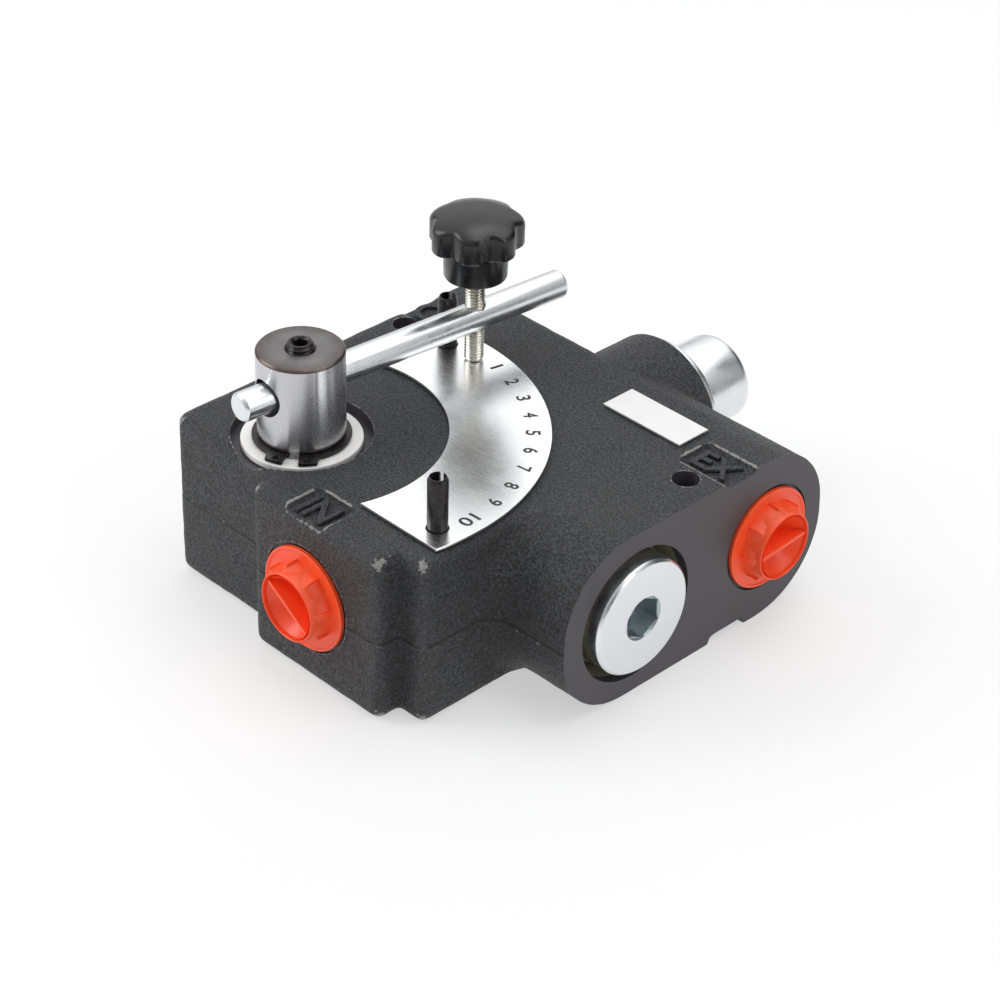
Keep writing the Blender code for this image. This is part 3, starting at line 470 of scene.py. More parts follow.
def block(name, low, high, bevel=0.0, place=None):
    shape = bmesh.new()
    bmesh.ops.create_cube(shape, size=1)
    size = Vector(high) - Vector(low)
    bmesh.ops.scale(shape, vec=size, verts=shape.verts)
    bmesh.ops.translate(shape, vec=(Vector(low) + Vector(high)) / 2, verts=shape.verts)
    if bevel:
        edges = list(shape.edges)
        bmesh.ops.bevel(shape, geom=edges, offset=bevel, segments=3, profile=0.5, affect="EDGES")
    return add_object(name, shape, place)


def close_ends(obj, cut_up=False):
    """Fills a loft's open ends, and with `cut_up` splits the new faces into triangles."""
    shape = bmesh.new()
    shape.from_mesh(obj.data)
    bmesh.ops.holes_fill(shape, edges=[edge for edge in shape.edges if edge.is_boundary])
    if cut_up:
        bmesh.ops.triangulate(shape, faces=[face for face in shape.faces if len(face.verts) > 4])
    bmesh.ops.recalc_face_normals(shape, faces=shape.faces)
    shape.to_mesh(obj.data)
    shape.free()
    return obj


def prism(name, outline, low, high, place=None):
    """A flat outline extruded along local Z."""
    return close_ends(loft(name, [[(x, y, z) for x, y in outline] for z in (low, high)], place))


def plate(name, loops, low, high, bevel, place=None):
    """A flat outline with holes, extruded along local Z, with rounded edges."""
    curve = bpy.data.curves.new(name, "CURVE")
    curve.dimensions = "2D"
    curve.fill_mode = "BOTH"
    curve.extrude = (high - low) / 2 - bevel
    curve.bevel_depth = bevel
    curve.bevel_resolution = 1
    curve.offset = -bevel
    for loop in loops:
        spline = curve.splines.new("POLY")
        spline.points.add(len(loop) - 1)
        spline.use_cyclic_u = True
        for point, (x, y) in zip(spline.points, loop):
            point.co = (x, y, 0, 1)
    obj = bpy.data.objects.new(name, curve)
    obj.matrix_world = (place or Matrix()) @ Matrix.Translation((0, 0, (low + high) / 2))
    COLLECTION.objects.link(obj)
    return baked(obj)


def lettering(name, words, low, high, bottom, top, turn=0.0):
    """Raised text that fills the box between two XY corners."""
    curve = bpy.data.curves.new(name, "FONT")
    curve.body = words
    curve.extrude = 0.5
    curve.bevel_depth = 0.02
    obj = bpy.data.objects.new(name, curve)
    COLLECTION.objects.link(obj)
    obj = baked(obj)
    corners = np.array([vertex.co for vertex in obj.data.vertices])
    least, most = corners.min(0), corners.max(0)
    fitted = (corners - (least + most) / 2) / (most - least)
    size = (high[0] - low[0], high[1] - low[1], top - bottom)
    middle = Vector(((low[0] + high[0]) / 2, (low[1] + high[1]) / 2, (bottom + top) / 2))
    for vertex, point in zip(obj.data.vertices, fitted):
        vertex.co = [share * length for share, length in zip(point, size)]
    obj.matrix_world = Matrix.Translation(middle) @ spun(turn)
    return obj


def thread(name, place, radius, depth, pitch, start, end, sides):
    """A rod about local Z whose side is a real helical thread."""
    steps_per_pitch, chamfer = 8, 0.6 * MM
    count = int((end - start) / pitch * steps_per_pitch)
    rings = [[(0, 0, start)]]
    for step in range(count + 1):
        height = start + (end - start) * step / count
        ends = min(height - start, end - height)
        limit = radius - max(0.0, chamfer - ends)
        points = []
        for i in range(sides):
            turn = i / sides
            phase = (height / pitch - turn) % 1
            wave = abs(2 * phase - 1)
            reach = min(radius - depth * min(1, max(0, 1.25 * wave - 0.1)), limit)
            angle = 2 * math.pi * turn
            points.append((reach * math.cos(angle), reach * math.sin(angle), height))
        rings.append(points)
    rings.append([(0, 0, end)])
    return loft(name, rings, place)


def combine(target, tools, operation="DIFFERENCE"):
    """Cuts or joins the tools in one Boolean, keeps each face's material index, and removes the tools."""
    folder = bpy.data.collections.new("tools")
    for tool in tools:
        COLLECTION.objects.unlink(tool)
        folder.objects.link(tool)
    COLLECTION.children.link(folder)
    step = target.modifiers.new("Tools", "BOOLEAN")
    step.operation = operation
    step.operand_type = "COLLECTION"
    step.collection = folder
    step.solver = "MANIFOLD"
    baked(target)
    for tool in tools:
        bpy.data.objects.remove(tool)
    bpy.data.collections.remove(folder)
    return target


def joined(name, pieces):
    """One mesh object that holds several objects' meshes."""
    shape = bmesh.new()
    for piece in pieces:
        piece.data.transform(piece.matrix_world)
        shape.from_mesh(piece.data)
        bpy.data.objects.remove(piece)
    mesh = bpy.data.meshes.new(name)
    shape.to_mesh(mesh)
    shape.free()
    obj = bpy.data.objects.new(name, mesh)
    COLLECTION.objects.link(obj)
    return obj


def smoothed(obj, angle):
    """Smooth shading with crisp edges."""
    obj.data.shade_smooth()
    obj.data.set_sharp_from_angle(angle=math.radians(angle))
    return obj


def dress(obj, material, angle=38):
    """Gives a piece one material all over, and its shading."""
    obj.data.materials.clear()
    obj.data.materials.append(material)
    return smoothed(obj, angle)


def cut_in_colours(body, body_materials, cutters):
    """Cuts the body. Each cutter comes with the index of the material that its cut faces show."""
    for cutter, index in cutters:
        for polygon in cutter.data.polygons:
            polygon.material_index = index
    for obj in (body, *(cutter for cutter, _ in cutters)):
        while obj.data.materials:
            obj.data.materials.pop()
        for material in body_materials:
            obj.data.materials.append(material)
    return combine(body, [cutter for cutter, _ in cutters])


def show(obj, body, slot, *nodes):
    """Attaches a finished piece to what it rides on and hides the CAD nodes it stands for. Its material slot
    argument is not used.
    """
    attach(obj, body)
    if nodes:
        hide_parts(*nodes)


def arc(centre, radius, start, end, count):
    turns = [math.radians(start + (end - start) * i / (count - 1)) for i in range(count)]
    return [(centre[0] + radius * math.cos(a), centre[1] + radius * math.sin(a)) for a in turns]


def circle(centre, radius, count):
    return arc(centre, radius, 0, 360 - 360 / count, count)


def polar(radius, degrees, height=0.0):
    angle = math.radians(degrees)
    return Vector((radius * math.cos(angle), radius * math.sin(angle), height))


LEVER = spun(LEVER_ANGLE)
UP = Matrix()
COMPENSATOR = along(X_AXIS, (0, COMP_Y, COMP_Z))
RELIEF = along(Y_AXIS, (RELIEF_X, 0, RELIEF_Z))
IN_PORT = along((0, -1, 0), (IN_X, IN_FACE_Y, PORT_Z))
EX_PORT = along(X_AXIS, (EX_FACE_X, EX_Y, PORT_Z))
CF_PORT = along((-1, 0, 0), (CF_FACE_X, CF_Y, PORT_Z))
PIN_ANGLES = {"stop_pin_low": 95.5, "stop_pin_high": -5.5}
PIN_CIRCLE, PIN_HOLE_RADIUS = 64 * MM, 3.3 * MM
O_RING_HEIGHTS = (48.5 * MM, 44 * MM)


# ------------ the casting


def barrel_outline(left, inside=None):
    """The barrel's YZ outline. With `inside`, only its rounded -Y side, closed at that Y."""
    radius, other = BARREL_ROUND_LEFT, BARREL_ROUND_RIGHT
    right = BARREL_Y[1]
    upper = arc((left + radius, TOP - radius), radius, 90, 180, 16)
    lower = arc((left + radius, radius), radius, 180, 270, 16)
    if inside is not None:
        return [(inside, TOP), *upper, *lower, (inside, 0)]
    far_lower = arc((right - other, other), other, -90, 0, 16)
    far_upper = arc((right - other, TOP - other), other, 0, 90, 16)
    return upper + lower + far_lower + far_upper


def vertex_arrays(mesh):
    """Places in millimetres and normals, as two arrays."""
    places, normals = (np.empty(len(mesh.vertices) * 3) for _ in range(2))
    mesh.vertices.foreach_get("co", places)
    mesh.vertex_normals.foreach_get("vector", normals)
    return places.reshape(-1, 3) / MM, normals.reshape(-1, 3)


def weather(mesh):
    """Uneven skin, set slightly inside the true size, with a small step at the parting line."""
    places, normals = vertex_arrays(mesh)
    points = [Vector(place) for place in places]
    inset, step = 0.16, 0.12
    lumps = [noise.noise(point / 6) * 0.12 + noise.noise(point / 2.1) * 0.05 for point in points]
    wander = [noise.noise(point / 12) * 0.8 for point in points]
    sides = np.hypot(normals[:, 0], normals[:, 1])
    below = np.where(places[:, 2] < PARTING_Z / MM + np.array(wander), step, 0.0)
    moved = places + normals * (np.array(lumps) - inset - step * sides + below * sides)[:, None]
    mesh.vertices.foreach_set("co", (moved * MM).ravel())
    mesh.update()


def rough_casting():
    """The cast skin: the blocks, barrel and boss joined, then remeshed and smoothed like sand-cast iron."""
    side = Matrix(((0, 0, 1, 0), (1, 0, 0, 0), (0, 1, 0, 0), (0, 0, 0, 1)))
    spare = 2 * MM
    body = block("casting", (BLOCK_X[0], BLOCK_Y[0], 0), (BLOCK_X[1], BLOCK_Y[1], TOP), CAST_ROUND)
    boss_low, boss_high = (BOSS_X[0], IN_FACE_Y, 0), (BOSS_X[1], BLOCK_Y[0] + 12 * MM, TOP)
    boss = block("boss", boss_low, boss_high, CAST_ROUND)
    barrel = prism("barrel", barrel_outline(BARREL_Y[0]), 45 * MM, EX_FACE_X + spare, side)
    relief_boss = rod("relief_boss", RELIEF, RELIEF_BOSS_RADIUS, 78 * MM, RELIEF_FACE_Y + spare)
    inside = BARREL_Y[0] + BARREL_ROUND_LEFT + 2 * MM
    rings = [[(BLOCK_X[1] - FLARE, y, z) for y, z in barrel_outline(BARREL_Y[0] - FLARE, inside)]]
    for i in range(9):
        turn = math.pi / 16 * i
        x, widen = BLOCK_X[1] + FLARE * (1 - math.cos(turn)), FLARE * (1 - math.sin(turn))
        rings.append([(x, y, z) for y, z in barrel_outline(BARREL_Y[0] - widen, inside)])
    rings.append([(BLOCK_X[1] + FLARE, inside - MM, TOP / 2)])
    rings.insert(0, [(BLOCK_X[1] - FLARE, inside - MM, TOP / 2)])
    flare = loft("flare", rings)
    combine(body, [boss, barrel, relief_boss, flare], "UNION")

    floor, over = TOP - MARK_DEPTH, TOP + 3 * MM
    pockets = [block("pocket", (*low, floor), (*high, over)) for low, high, _, _ in MARKS.values()]
    channel = block("channel", (-40 * MM, 67.5 * MM, -5 * MM), (110 * MM, 82.4 * MM, 2.5 * MM))
    combine(body, [*pockets, channel])
    remesh = body.modifiers.new("Skin", "REMESH")
    remesh.mode = "VOXEL"
    remesh.voxel_size = VOXEL
    smooth = body.modifiers.new("Softened", "SMOOTH")
    smooth.factor = 0.5
    smooth.iterations = 7
    baked(body)
    weather(body.data)
    return body


def machining():
    """Cutters for every bore, counterbore, spotface and flat that is machined after casting."""
    floor = TOP - 3.6 * MM
    tools = [
        block("ex_flat", (EX_FACE_X, -5 * MM, -5 * MM), (EX_FACE_X + 9 * MM, 125 * MM, TOP + 5 * MM)),
        block("relief_flat", (5 * MM, RELIEF_FACE_Y, -5 * MM),
              (65 * MM, RELIEF_FACE_Y + 9 * MM, TOP + 5 * MM)),
        rod("counterbore", UP, 20.8 * MM, floor, TOP + 5 * MM, 96),
        rod("spool_bore", UP, SPOOL_BORE_RADIUS, SPOOL_BOTTOM - 0.3 * MM, TOP, 80),
    ]
    for port in (IN_PORT, EX_PORT, CF_PORT):
        spotface = CF_SPOTFACE_RADIUS if port is CF_PORT else SPOTFACE_RADIUS
        tools.append(rod("spotface", port, spotface, -SPOTFACE_DEPTH, 6 * MM, 96))
        tools.append(rod("port", port, PORT_RADIUS, -PORT_DEPTH, 5 * MM))
        start, end = -SPOTFACE_DEPTH - 1.2 * MM, -SPOTFACE_DEPTH + 0.4 * MM
        tools.append(rod("port_chamfer", port, PORT_RADIUS, start, end, 64, PORT_RADIUS + 1.6 * MM))
    tools += [
        rod("comp_bore", COMPENSATOR, SPOOL_BORE_RADIUS, -2 * MM, 90 * MM),
        rod("plug_bore", COMPENSATOR, 15.5 * MM, 78 * MM, 100 * MM),
        rod("plug_seat_wall", COMPENSATOR, 21.5 * MM, EX_FACE_X - 3.5 * MM, EX_FACE_X + 5 * MM, 96),
        rod("relief_thread", RELIEF, 11 * MM, 96 * MM, 121 * MM),
        rod("relief_bore", RELIEF, 9 * MM, 72 * MM, 100 * MM),
        rod("relief_seal_seat", RELIEF, 14 * MM, RELIEF_FACE_Y - 2.2 * MM, 122 * MM),
        rod("relief_passage", RELIEF, 4 * MM, COMP_Y, 80 * MM, 24),
        rod("in_passage", along(Y_AXIS, (IN_X, 0, PORT_Z)), 7 * MM, -12 * MM, COMP_Y, 32),
        rod("ex_passage", along(X_AXIS, (0, EX_Y, PORT_Z)), 7 * MM, RELIEF_X, 85 * MM, 32),
        rod("ex_gallery", along(Y_AXIS, (54 * MM, 0, PORT_Z)), 6 * MM, COMP_Y, EX_Y, 32),
        rod("supply", along(Y_AXIS, (0, 0, 32 * MM)), 6 * MM, 5 * MM, COMP_Y, 32),
        rod("cf_gallery", along(Y_AXIS, (-13.5 * MM, 0, 20 * MM)), 5 * MM, -2 * MM, CF_Y + 3 * MM, 32),
    ]
    for x, y in MOUNT_HOLES:
        place = Matrix.Translation((x, y, 0))
        tools.append(rod("mount_hole", place, MOUNT_HOLE_RADIUS, -3 * MM, TOP + 3 * MM, 48))
    for angle in PIN_ANGLES.values():
        place = Matrix.Translation(polar(PIN_CIRCLE, angle))
        tools.append(rod("pin_hole", place, PIN_HOLE_RADIUS, TOP - 10.3 * MM, TOP + 3 * MM, 32))
    return tools


def edge_values(mesh):
    """How worn each vertex is, from 0 on a flat to 1 on an outside edge. The parting line counts as half."""
    places, normals = vertex_arrays(mesh)
    edges = np.empty(len(mesh.edges) * 2, dtype=int)
    mesh.edges.foreach_get("vertices", edges)
    first, second = edges.reshape(-1, 2).T
    pull = np.zeros_like(places)
    count = np.zeros(len(places))
    np.add.at(pull, first, places[second] - places[first])
    np.add.at(pull, second, places[first] - places[second])
    np.add.at(count, first, 1)
    np.add.at(count, second, 1)
    bend = -(pull * normals).sum(1) / np.maximum(count, 1)
    seam = np.exp(-(((places[:, 2] - PARTING_Z / MM) / 0.7) ** 2)) * (np.abs(normals[:, 2]) < 0.5) * 0.52
    return np.clip(np.maximum(bend / 0.08, seam), 0, 1)


def build_casting(cast, machined, seat):
    body = rough_casting()
    tools = machining()
    cone = rod("plug_seat", COMPENSATOR, 19 * MM, EX_FACE_X - 8 * MM, EX_FACE_X - 3.4 * MM, 96, 21.4 * MM)
    cut_in_colours(body, (cast, machined, seat), [*((tool, 1) for tool in tools), (cone, 2)])
    values = edge_values(body.data)
    edge = body.data.attributes.new("edge", "FLOAT", "POINT")
    edge.data.foreach_set("value", values)
    body.name = "cast_body"
    show(smoothed(body, 24), BODY, "cast_iron_black", "body_casting")


def build_marks(cast):
    """The port letters, raised inside their pockets."""
    floor = TOP - MARK_DEPTH - 0.2 * MM
    for words, (_, _, low, high) in MARKS.items():
        mark = lettering("cast_mark_" + words, words, low, high, floor, floor + 1.25 * MM)
        dress(mark, cast, angle=60)
        show(mark, BODY, "cast_iron_black")


# ------------ hub, lever and stops


def build_hub(steel):
    """The rotary spool: the hub above the casting and the grooved, cored spool below."""
    low, high = WASHER_HIGH.z, TOP + 0.3 * MM
    bottom, radius, spool = SPOOL_BOTTOM, HUB_RADIUS, 12.5 * MM
    profile = [(0, HUB_TOP), (radius - 0.6 * MM, HUB_TOP), (radius, HUB_TOP - 0.6 * MM)]
    neck, half_groove, groove_floor = 11.6 * MM, 1.3 * MM, 10.7 * MM
    profile += [(radius, high + 1.2 * MM), (radius - 0.5 * MM, high), (neck, high), (neck, low)]
    profile += [(spool, low)]
    for height in O_RING_HEIGHTS:
        top, bottom_edge = height + half_groove, height - half_groove
        profile += [(spool, top), (groove_floor, top), (groove_floor, bottom_edge), (spool, bottom_edge)]
    profile += [(spool, bottom + 0.6 * MM), (spool - 0.6 * MM, bottom), (0, bottom)]
    hub = lathe("ground_hub", LEVER, profile, sides=128, soft=0.15 * MM)
    window = block("window", (4 * MM, -15 * MM, 26.5 * MM), (16 * MM, 15 * MM, 37.5 * MM))
    window.matrix_world = spun(132)
    tools = [
        rod("core", UP, 7 * MM, bottom - 2 * MM, 40 * MM),
        window,
        rod("meter", along(polar(1, 249), (0, 0, 20 * MM)), 4.2 * MM, 3 * MM, 16 * MM, 32),
        rod("rod_hole", LEVER @ along(X_AXIS, (0, 0, ROD_Z)), 5.8 * MM, -20 * MM, 20 * MM, 64),
        rod("screw_hole", LEVER, 4.2 * MM, ROD_Z, HUB_TOP + 3 * MM, 48),
        rod("screw_lead", LEVER, 4.2 * MM, HUB_TOP - 0.5 * MM, HUB_TOP + 0.4 * MM, 48, 5.1 * MM),
    ]
    combine(hub, tools)
    show(dress(hub, steel, angle=30), "lever", "ground_steel", "rotary_spool")


def build_set_screw(oxide):
    radius, depth, pitch, bottom, top = 3.95 * MM, 0.7 * MM, 1.25 * MM, 75.9 * MM, HUB_TOP + 2.2 * MM
    screw = thread("hub_screw", LEVER, radius, depth, pitch, bottom, top, 40)
    socket = rod("socket", LEVER, 2.4 * MM, HUB_TOP - 1 * MM, HUB_TOP + 3 * MM, 6)
    lead = rod("lead", LEVER, 2.2 * MM, HUB_TOP + 1.6 * MM, HUB_TOP + 2.5 * MM, 40, 3.1 * MM)
    combine(screw, [socket, lead])
    show(dress(screw, oxide, angle=30), "lever", "black_oxide", "hub_set_screw")


def build_washer(white):
    bore, edge, low, high = 12.9 * MM, WASHER_HIGH.x, WASHER_LOW.z, WASHER_HIGH.z
    rim = [(bore, high), (edge, high), (edge, low), (bore, low)]
    washer = lathe("nylon_washer", UP, rim, closed=True, sides=128, soft=0.35 * MM)
    show(dress(washer, white), BODY, "white_nylon", "thrust_washer")


def clip_outline():
    """The circlip's outline in the lever's frame: a ring, open at its gap, with a lug on each side."""
    middle, gap, lug_end, taper, hole_turn = -137.6, 8.0, 26.0, 6, 16.5
    bore, ring, hole, lug = 11.9 * MM, 14.6 * MM, 15.9 * MM, 17.4 * MM
    start, end = middle + gap, middle - gap + 360
    outer_start, outer_end = middle + lug_end, middle - lug_end + 360
    outline = arc((0, 0), lug, start, outer_start, 8)
    outline += arc((0, 0), ring, outer_start + taper, outer_end - taper, 90)
    outline += arc((0, 0), lug, outer_end, end, 8)
    outline += arc((0, 0), bore, end, start, 100)
    holes = [polar(hole, middle + side * hole_turn) for side in (-1, 1)]
    return [outline] + [circle((hole.x, hole.y), 0.9 * MM, 20) for hole in holes]


def build_circlip(oxide):
    clip = plate("retaining_ring", clip_outline(), CLIP_LOW.z, CLIP_HIGH.z, 0.12 * MM, LEVER)
    show(dress(clip, oxide), "lever", "black_oxide", "circlip")


def build_lever(zinc_metal):
    radius, chamfer = (ROD_HIGH.z - ROD_LOW.z) / 2, 0.9 * MM
    direction = polar(1, LEVER_ANGLE)
    spread = radius * abs(direction.x)
    end = (ROD_HIGH.y - spread) / direction.y
    start = (ROD_LOW.y + spread) / direction.y
    profile = [(0, end), (radius - chamfer, end), (radius, end - chamfer)]
    profile += [(radius, start + chamfer), (radius - chamfer, start), (0, start)]
    lever = lathe("zinc_rod", LEVER @ along(X_AXIS, (0, 0, ROD_Z)), profile, sides=80, soft=0.35 * MM)
    drill = rod("drill", Matrix.Translation(LOCK), 3.25 * MM, ROD_Z - 9 * MM, ROD_Z + 9 * MM, 40)
    combine(lever, [drill])
    show(dress(lever, zinc_metal, angle=50), "lever", "zinc", "lever_rod")


def build_pins(oxide):
    """Slotted spring pins with a chamfered top."""
    outer, inner, slot = 3 * MM, 2.1 * MM, 1.3 * MM
    for name, angle in PIN_ANGLES.items():
        low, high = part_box(name)
        rings = []
        for height, shrink in ((low.z, 0.3 * MM), (low.z + 0.8 * MM, 0), (high.z - 1.1 * MM, 0),
                               (high.z - 0.25 * MM, 0.35 * MM), (high.z, 0.5 * MM)):
            wide, narrow = outer - shrink, inner + shrink * 0.3
            out_gap = math.degrees(math.asin(slot / 2 / wide))
            in_gap = math.degrees(math.asin(slot / 2 / narrow))
            loop = arc((0, 0), wide, out_gap, 360 - out_gap, 48)
            loop += arc((0, 0), narrow, 360 - in_gap, in_gap, 36)
            rings.append([(x, y, height) for x, y in loop])
        place = Matrix.Translation(polar(PIN_CIRCLE, angle)) @ spun(110)
        pin = close_ends(loft(name + "_sleeve", rings, place), cut_up=True)
        show(dress(pin, oxide), BODY, "black_oxide", name)


# ------------ dial and label


def build_dial(aluminium):
    edge, outer, inner = -13.7 * MM, 72.4 * MM, 42.7 * MM
    low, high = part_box("dial_plate")
    wide, narrow = math.degrees(math.asin(edge / outer)), math.degrees(math.asin(edge / inner))
    outline = arc((0, 0), outer, wide, 90 - wide, 140) + arc((0, 0), inner, 90 - narrow, narrow, 110)
    holes = []
    for angle in PIN_ANGLES.values():
        centre = polar(PIN_CIRCLE, angle)
        holes.append(circle((centre.x, centre.y), PIN_HOLE_RADIUS, 48))
    dial = plate("dial_face", [outline, *holes], low.z, high.z, 0.1 * MM)
    show(dress(dial, aluminium), BODY, "dial_aluminium", "dial_plate")


def build_numbers(black):
    """The dial's scale, 1 to 10, standing a little proud of the plate."""
    face, half_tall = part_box("dial_plate")[1].z, 2.2 * MM
    first_angle, spacing, last_angle, scale_radius = 78.3, 8.25, 2.4, 66.9 * MM
    for number in range(1, 11):
        angle = first_angle - spacing * (number - 1) if number < 10 else last_angle
        centre = polar(scale_radius, angle)
        half_wide = {1: 0.5, 10: 2.9}.get(number, 1.3) * MM
        low = (centre.x - half_wide, centre.y - half_tall)
        high = (centre.x + half_wide, centre.y + half_tall)
        name, bottom, top = f"dial_number_{number}", face - 0.05 * MM, face + 0.03 * MM
        digit = lettering(name, str(number), low, high, bottom, top, angle - 90)
        show(dress(digit, black), BODY, "black_oxide")


# ------------ lock screw and knob


def build_lock_screw(yellow):
    place = Matrix.Translation(LOCK)
    screw = thread("threaded_rod", place, 2.95 * MM, 0.55 * MM, 1 * MM, SCREW_LOW.z, SCREW_HIGH.z, 36)
    show(dress(screw, yellow, angle=70), "lock_screw_body", "zinc_yellow", "lock_screw")


def build_knob(plastic):
    """A domed knob with seven lobes, whose crown and neck end lower than the plain CAD knob's."""
    lobes, tip, valley, neck = 7, 14.3 * MM, 12.4 * MM, 9.8 * MM
    crown_drop, neck_drop = 2.4 * MM, 1.3 * MM
    apex, bottom = KNOB_HIGH.z - crown_drop, KNOB_LOW.z - neck_drop
    under = apex - 11.8 * MM
    edge = apex - 4.1 * MM
    sphere = (tip**2 + (apex - edge) ** 2) / (2 * (apex - edge))
    sides = 168

    def reach(turn, inset):
        """The lobed outline's radius at a turn about the knob's axis."""
        dip = ((1 - math.cos(lobes * turn)) / 2) ** 1.6
        return tip - (tip - valley) * dip - inset

    def dome(radius):
        return apex - sphere * (1 - math.cos(math.asin(min(radius / sphere, 1))))

    def ring(share, inset, height=None):
        """A ring of the top when there is no height, or else one between the neck and the lobes."""
        points = []
        for i in range(sides):
            turn = 2 * math.pi * i / sides
            radius = reach(turn, inset) * share + neck * (1 - share) if height is not None else 0
            if height is None:
                radius = (tip * 0.8 * share) * (1 - share) + reach(turn, inset) * share * share
                level = dome(radius)
            else:
                level = height(radius) if callable(height) else height
            points.append((radius * math.cos(turn), radius * math.sin(turn), level))
        return points

    round_over = 1.3 * MM
    rings = [[(0, 0, apex)]]
    rings += [ring(i / 10, round_over) for i in range(1, 11)]
    for i in range(1, 6):
        turn = math.pi / 10 * i
        inset = round_over * (1 - math.sin(turn))
        drop = round_over * (1 - math.cos(turn))
        rings.append(ring(1, inset, lambda radius, drop=drop: dome(radius) - drop * 0.9))
    rings.append(ring(1, 0, under + 0.9 * MM))
    rings.append(ring(1, 0.25 * MM, under + 0.25 * MM))
    rings.append(ring(1, 0.9 * MM, under))
    rings.append(ring(0.15, 0.9 * MM, under))
    rings.append(ring(0, 0, under - 0.4 * MM))

    def plain(radius, height):
        turns = [2 * math.pi * i / sides for i in range(sides)]
        return [(radius * math.cos(a), radius * math.sin(a), height) for a in turns]

    rings.append(plain(neck - 0.05 * MM, under - 1.5 * MM))
    rings.append(plain(neck - 0.3 * MM, bottom + 0.6 * MM))
    rings.append(plain(neck - 0.5 * MM, bottom + 0.15 * MM))
    rings.append(plain(neck - 1 * MM, bottom))
    rings.append(plain(3.3 * MM, bottom))
    rings.append(plain(3.3 * MM, SCREW_HIGH.z + 0.3 * MM))
    rings.append([(0, 0, SCREW_HIGH.z + 0.3 * MM)])
    knob = loft("lobed_knob", rings, Matrix.Translation(LOCK))
    show(dress(knob, plastic, angle=50), "lock_knob_body", "black_plastic", "lock_knob")


# ------------ plugs and relief valve


def build_compensator_plug(metal, shaded):
    head, face, back = (PLUG_HIGH.z - PLUG_LOW.z) / 2, PLUG_HIGH.x, EX_FACE_X - 5.4 * MM
    chamfer, shank, end = 0.9 * MM, 15.2 * MM, PLUG_LOW.x
    profile = [(0, face), (head - chamfer, face), (head, face - chamfer), (head, back), (shank, back)]
    profile += [(shank, end + 1 * MM), (shank - 1 * MM, end), (0, end)]
    plug = lathe("zinc_plug", COMPENSATOR, profile, sides=128, soft=0.3 * MM)
    turned = COMPENSATOR @ spun(3)
    across = 12 * MM / math.sqrt(3)
    lead, lead_low, lead_high = 0.5 * MM, face - 0.6 * MM, face + 0.5 * MM
    tools = [
        rod("socket", turned, across, face - 7 * MM, face + 2 * MM, 6),
        rod("socket_lead", COMPENSATOR, across - lead, lead_low, lead_high, 64, across + lead),
        rod("socket_drill", COMPENSATOR, 0.2 * MM, face - 9.5 * MM, face - 6.5 * MM, 48, 5.4 * MM),
    ]
    # The socket's cut faces take the darker zinc: painted shade inside the hex socket.
    cut_in_colours(plug, (metal, shaded), [(tool, 1) for tool in tools])
    show(smoothed(plug, 30), BODY, "zinc", "compensator_plug")


def build_relief(metal):
    flange, face = (SEAT_HIGH.x - SEAT_LOW.x) / 2, RELIEF_FACE_Y + 0.3 * MM
    stub_end, flange_end, low = SEAT_HIGH.y, CAP_LOW.y - 0.3 * MM, SEAT_LOW.y
    stub, shank, bore = 8 * MM, 10.7 * MM, 6.2 * MM
    profile = [(stub, stub_end), (stub, flange_end), (flange, flange_end), (flange, face)]
    profile += [(shank, face), (shank, low), (bore, low), (bore, stub_end)]
    seat = lathe("relief_body", RELIEF, profile, closed=True, sides=112, soft=0.6 * MM)
    show(dress(seat, metal), BODY, "zinc", "relief_plug")

    radius, end = (CAP_HIGH.x - CAP_LOW.x) / 2, CAP_HIGH.y
    profile = [(0, end), (radius - 0.6 * MM, end), (radius, end - 1.5 * MM), (radius, CAP_LOW.y)]
    hollow, hollow_end = 8.4 * MM, 138.5 * MM
    profile += [(hollow, CAP_LOW.y), (hollow, hollow_end), (0, hollow_end)]
    cap = lathe("relief_cover", RELIEF, profile, sides=112, soft=0.8 * MM)
    show(dress(cap, metal), "relief_cap_body", "zinc", "relief_cap")


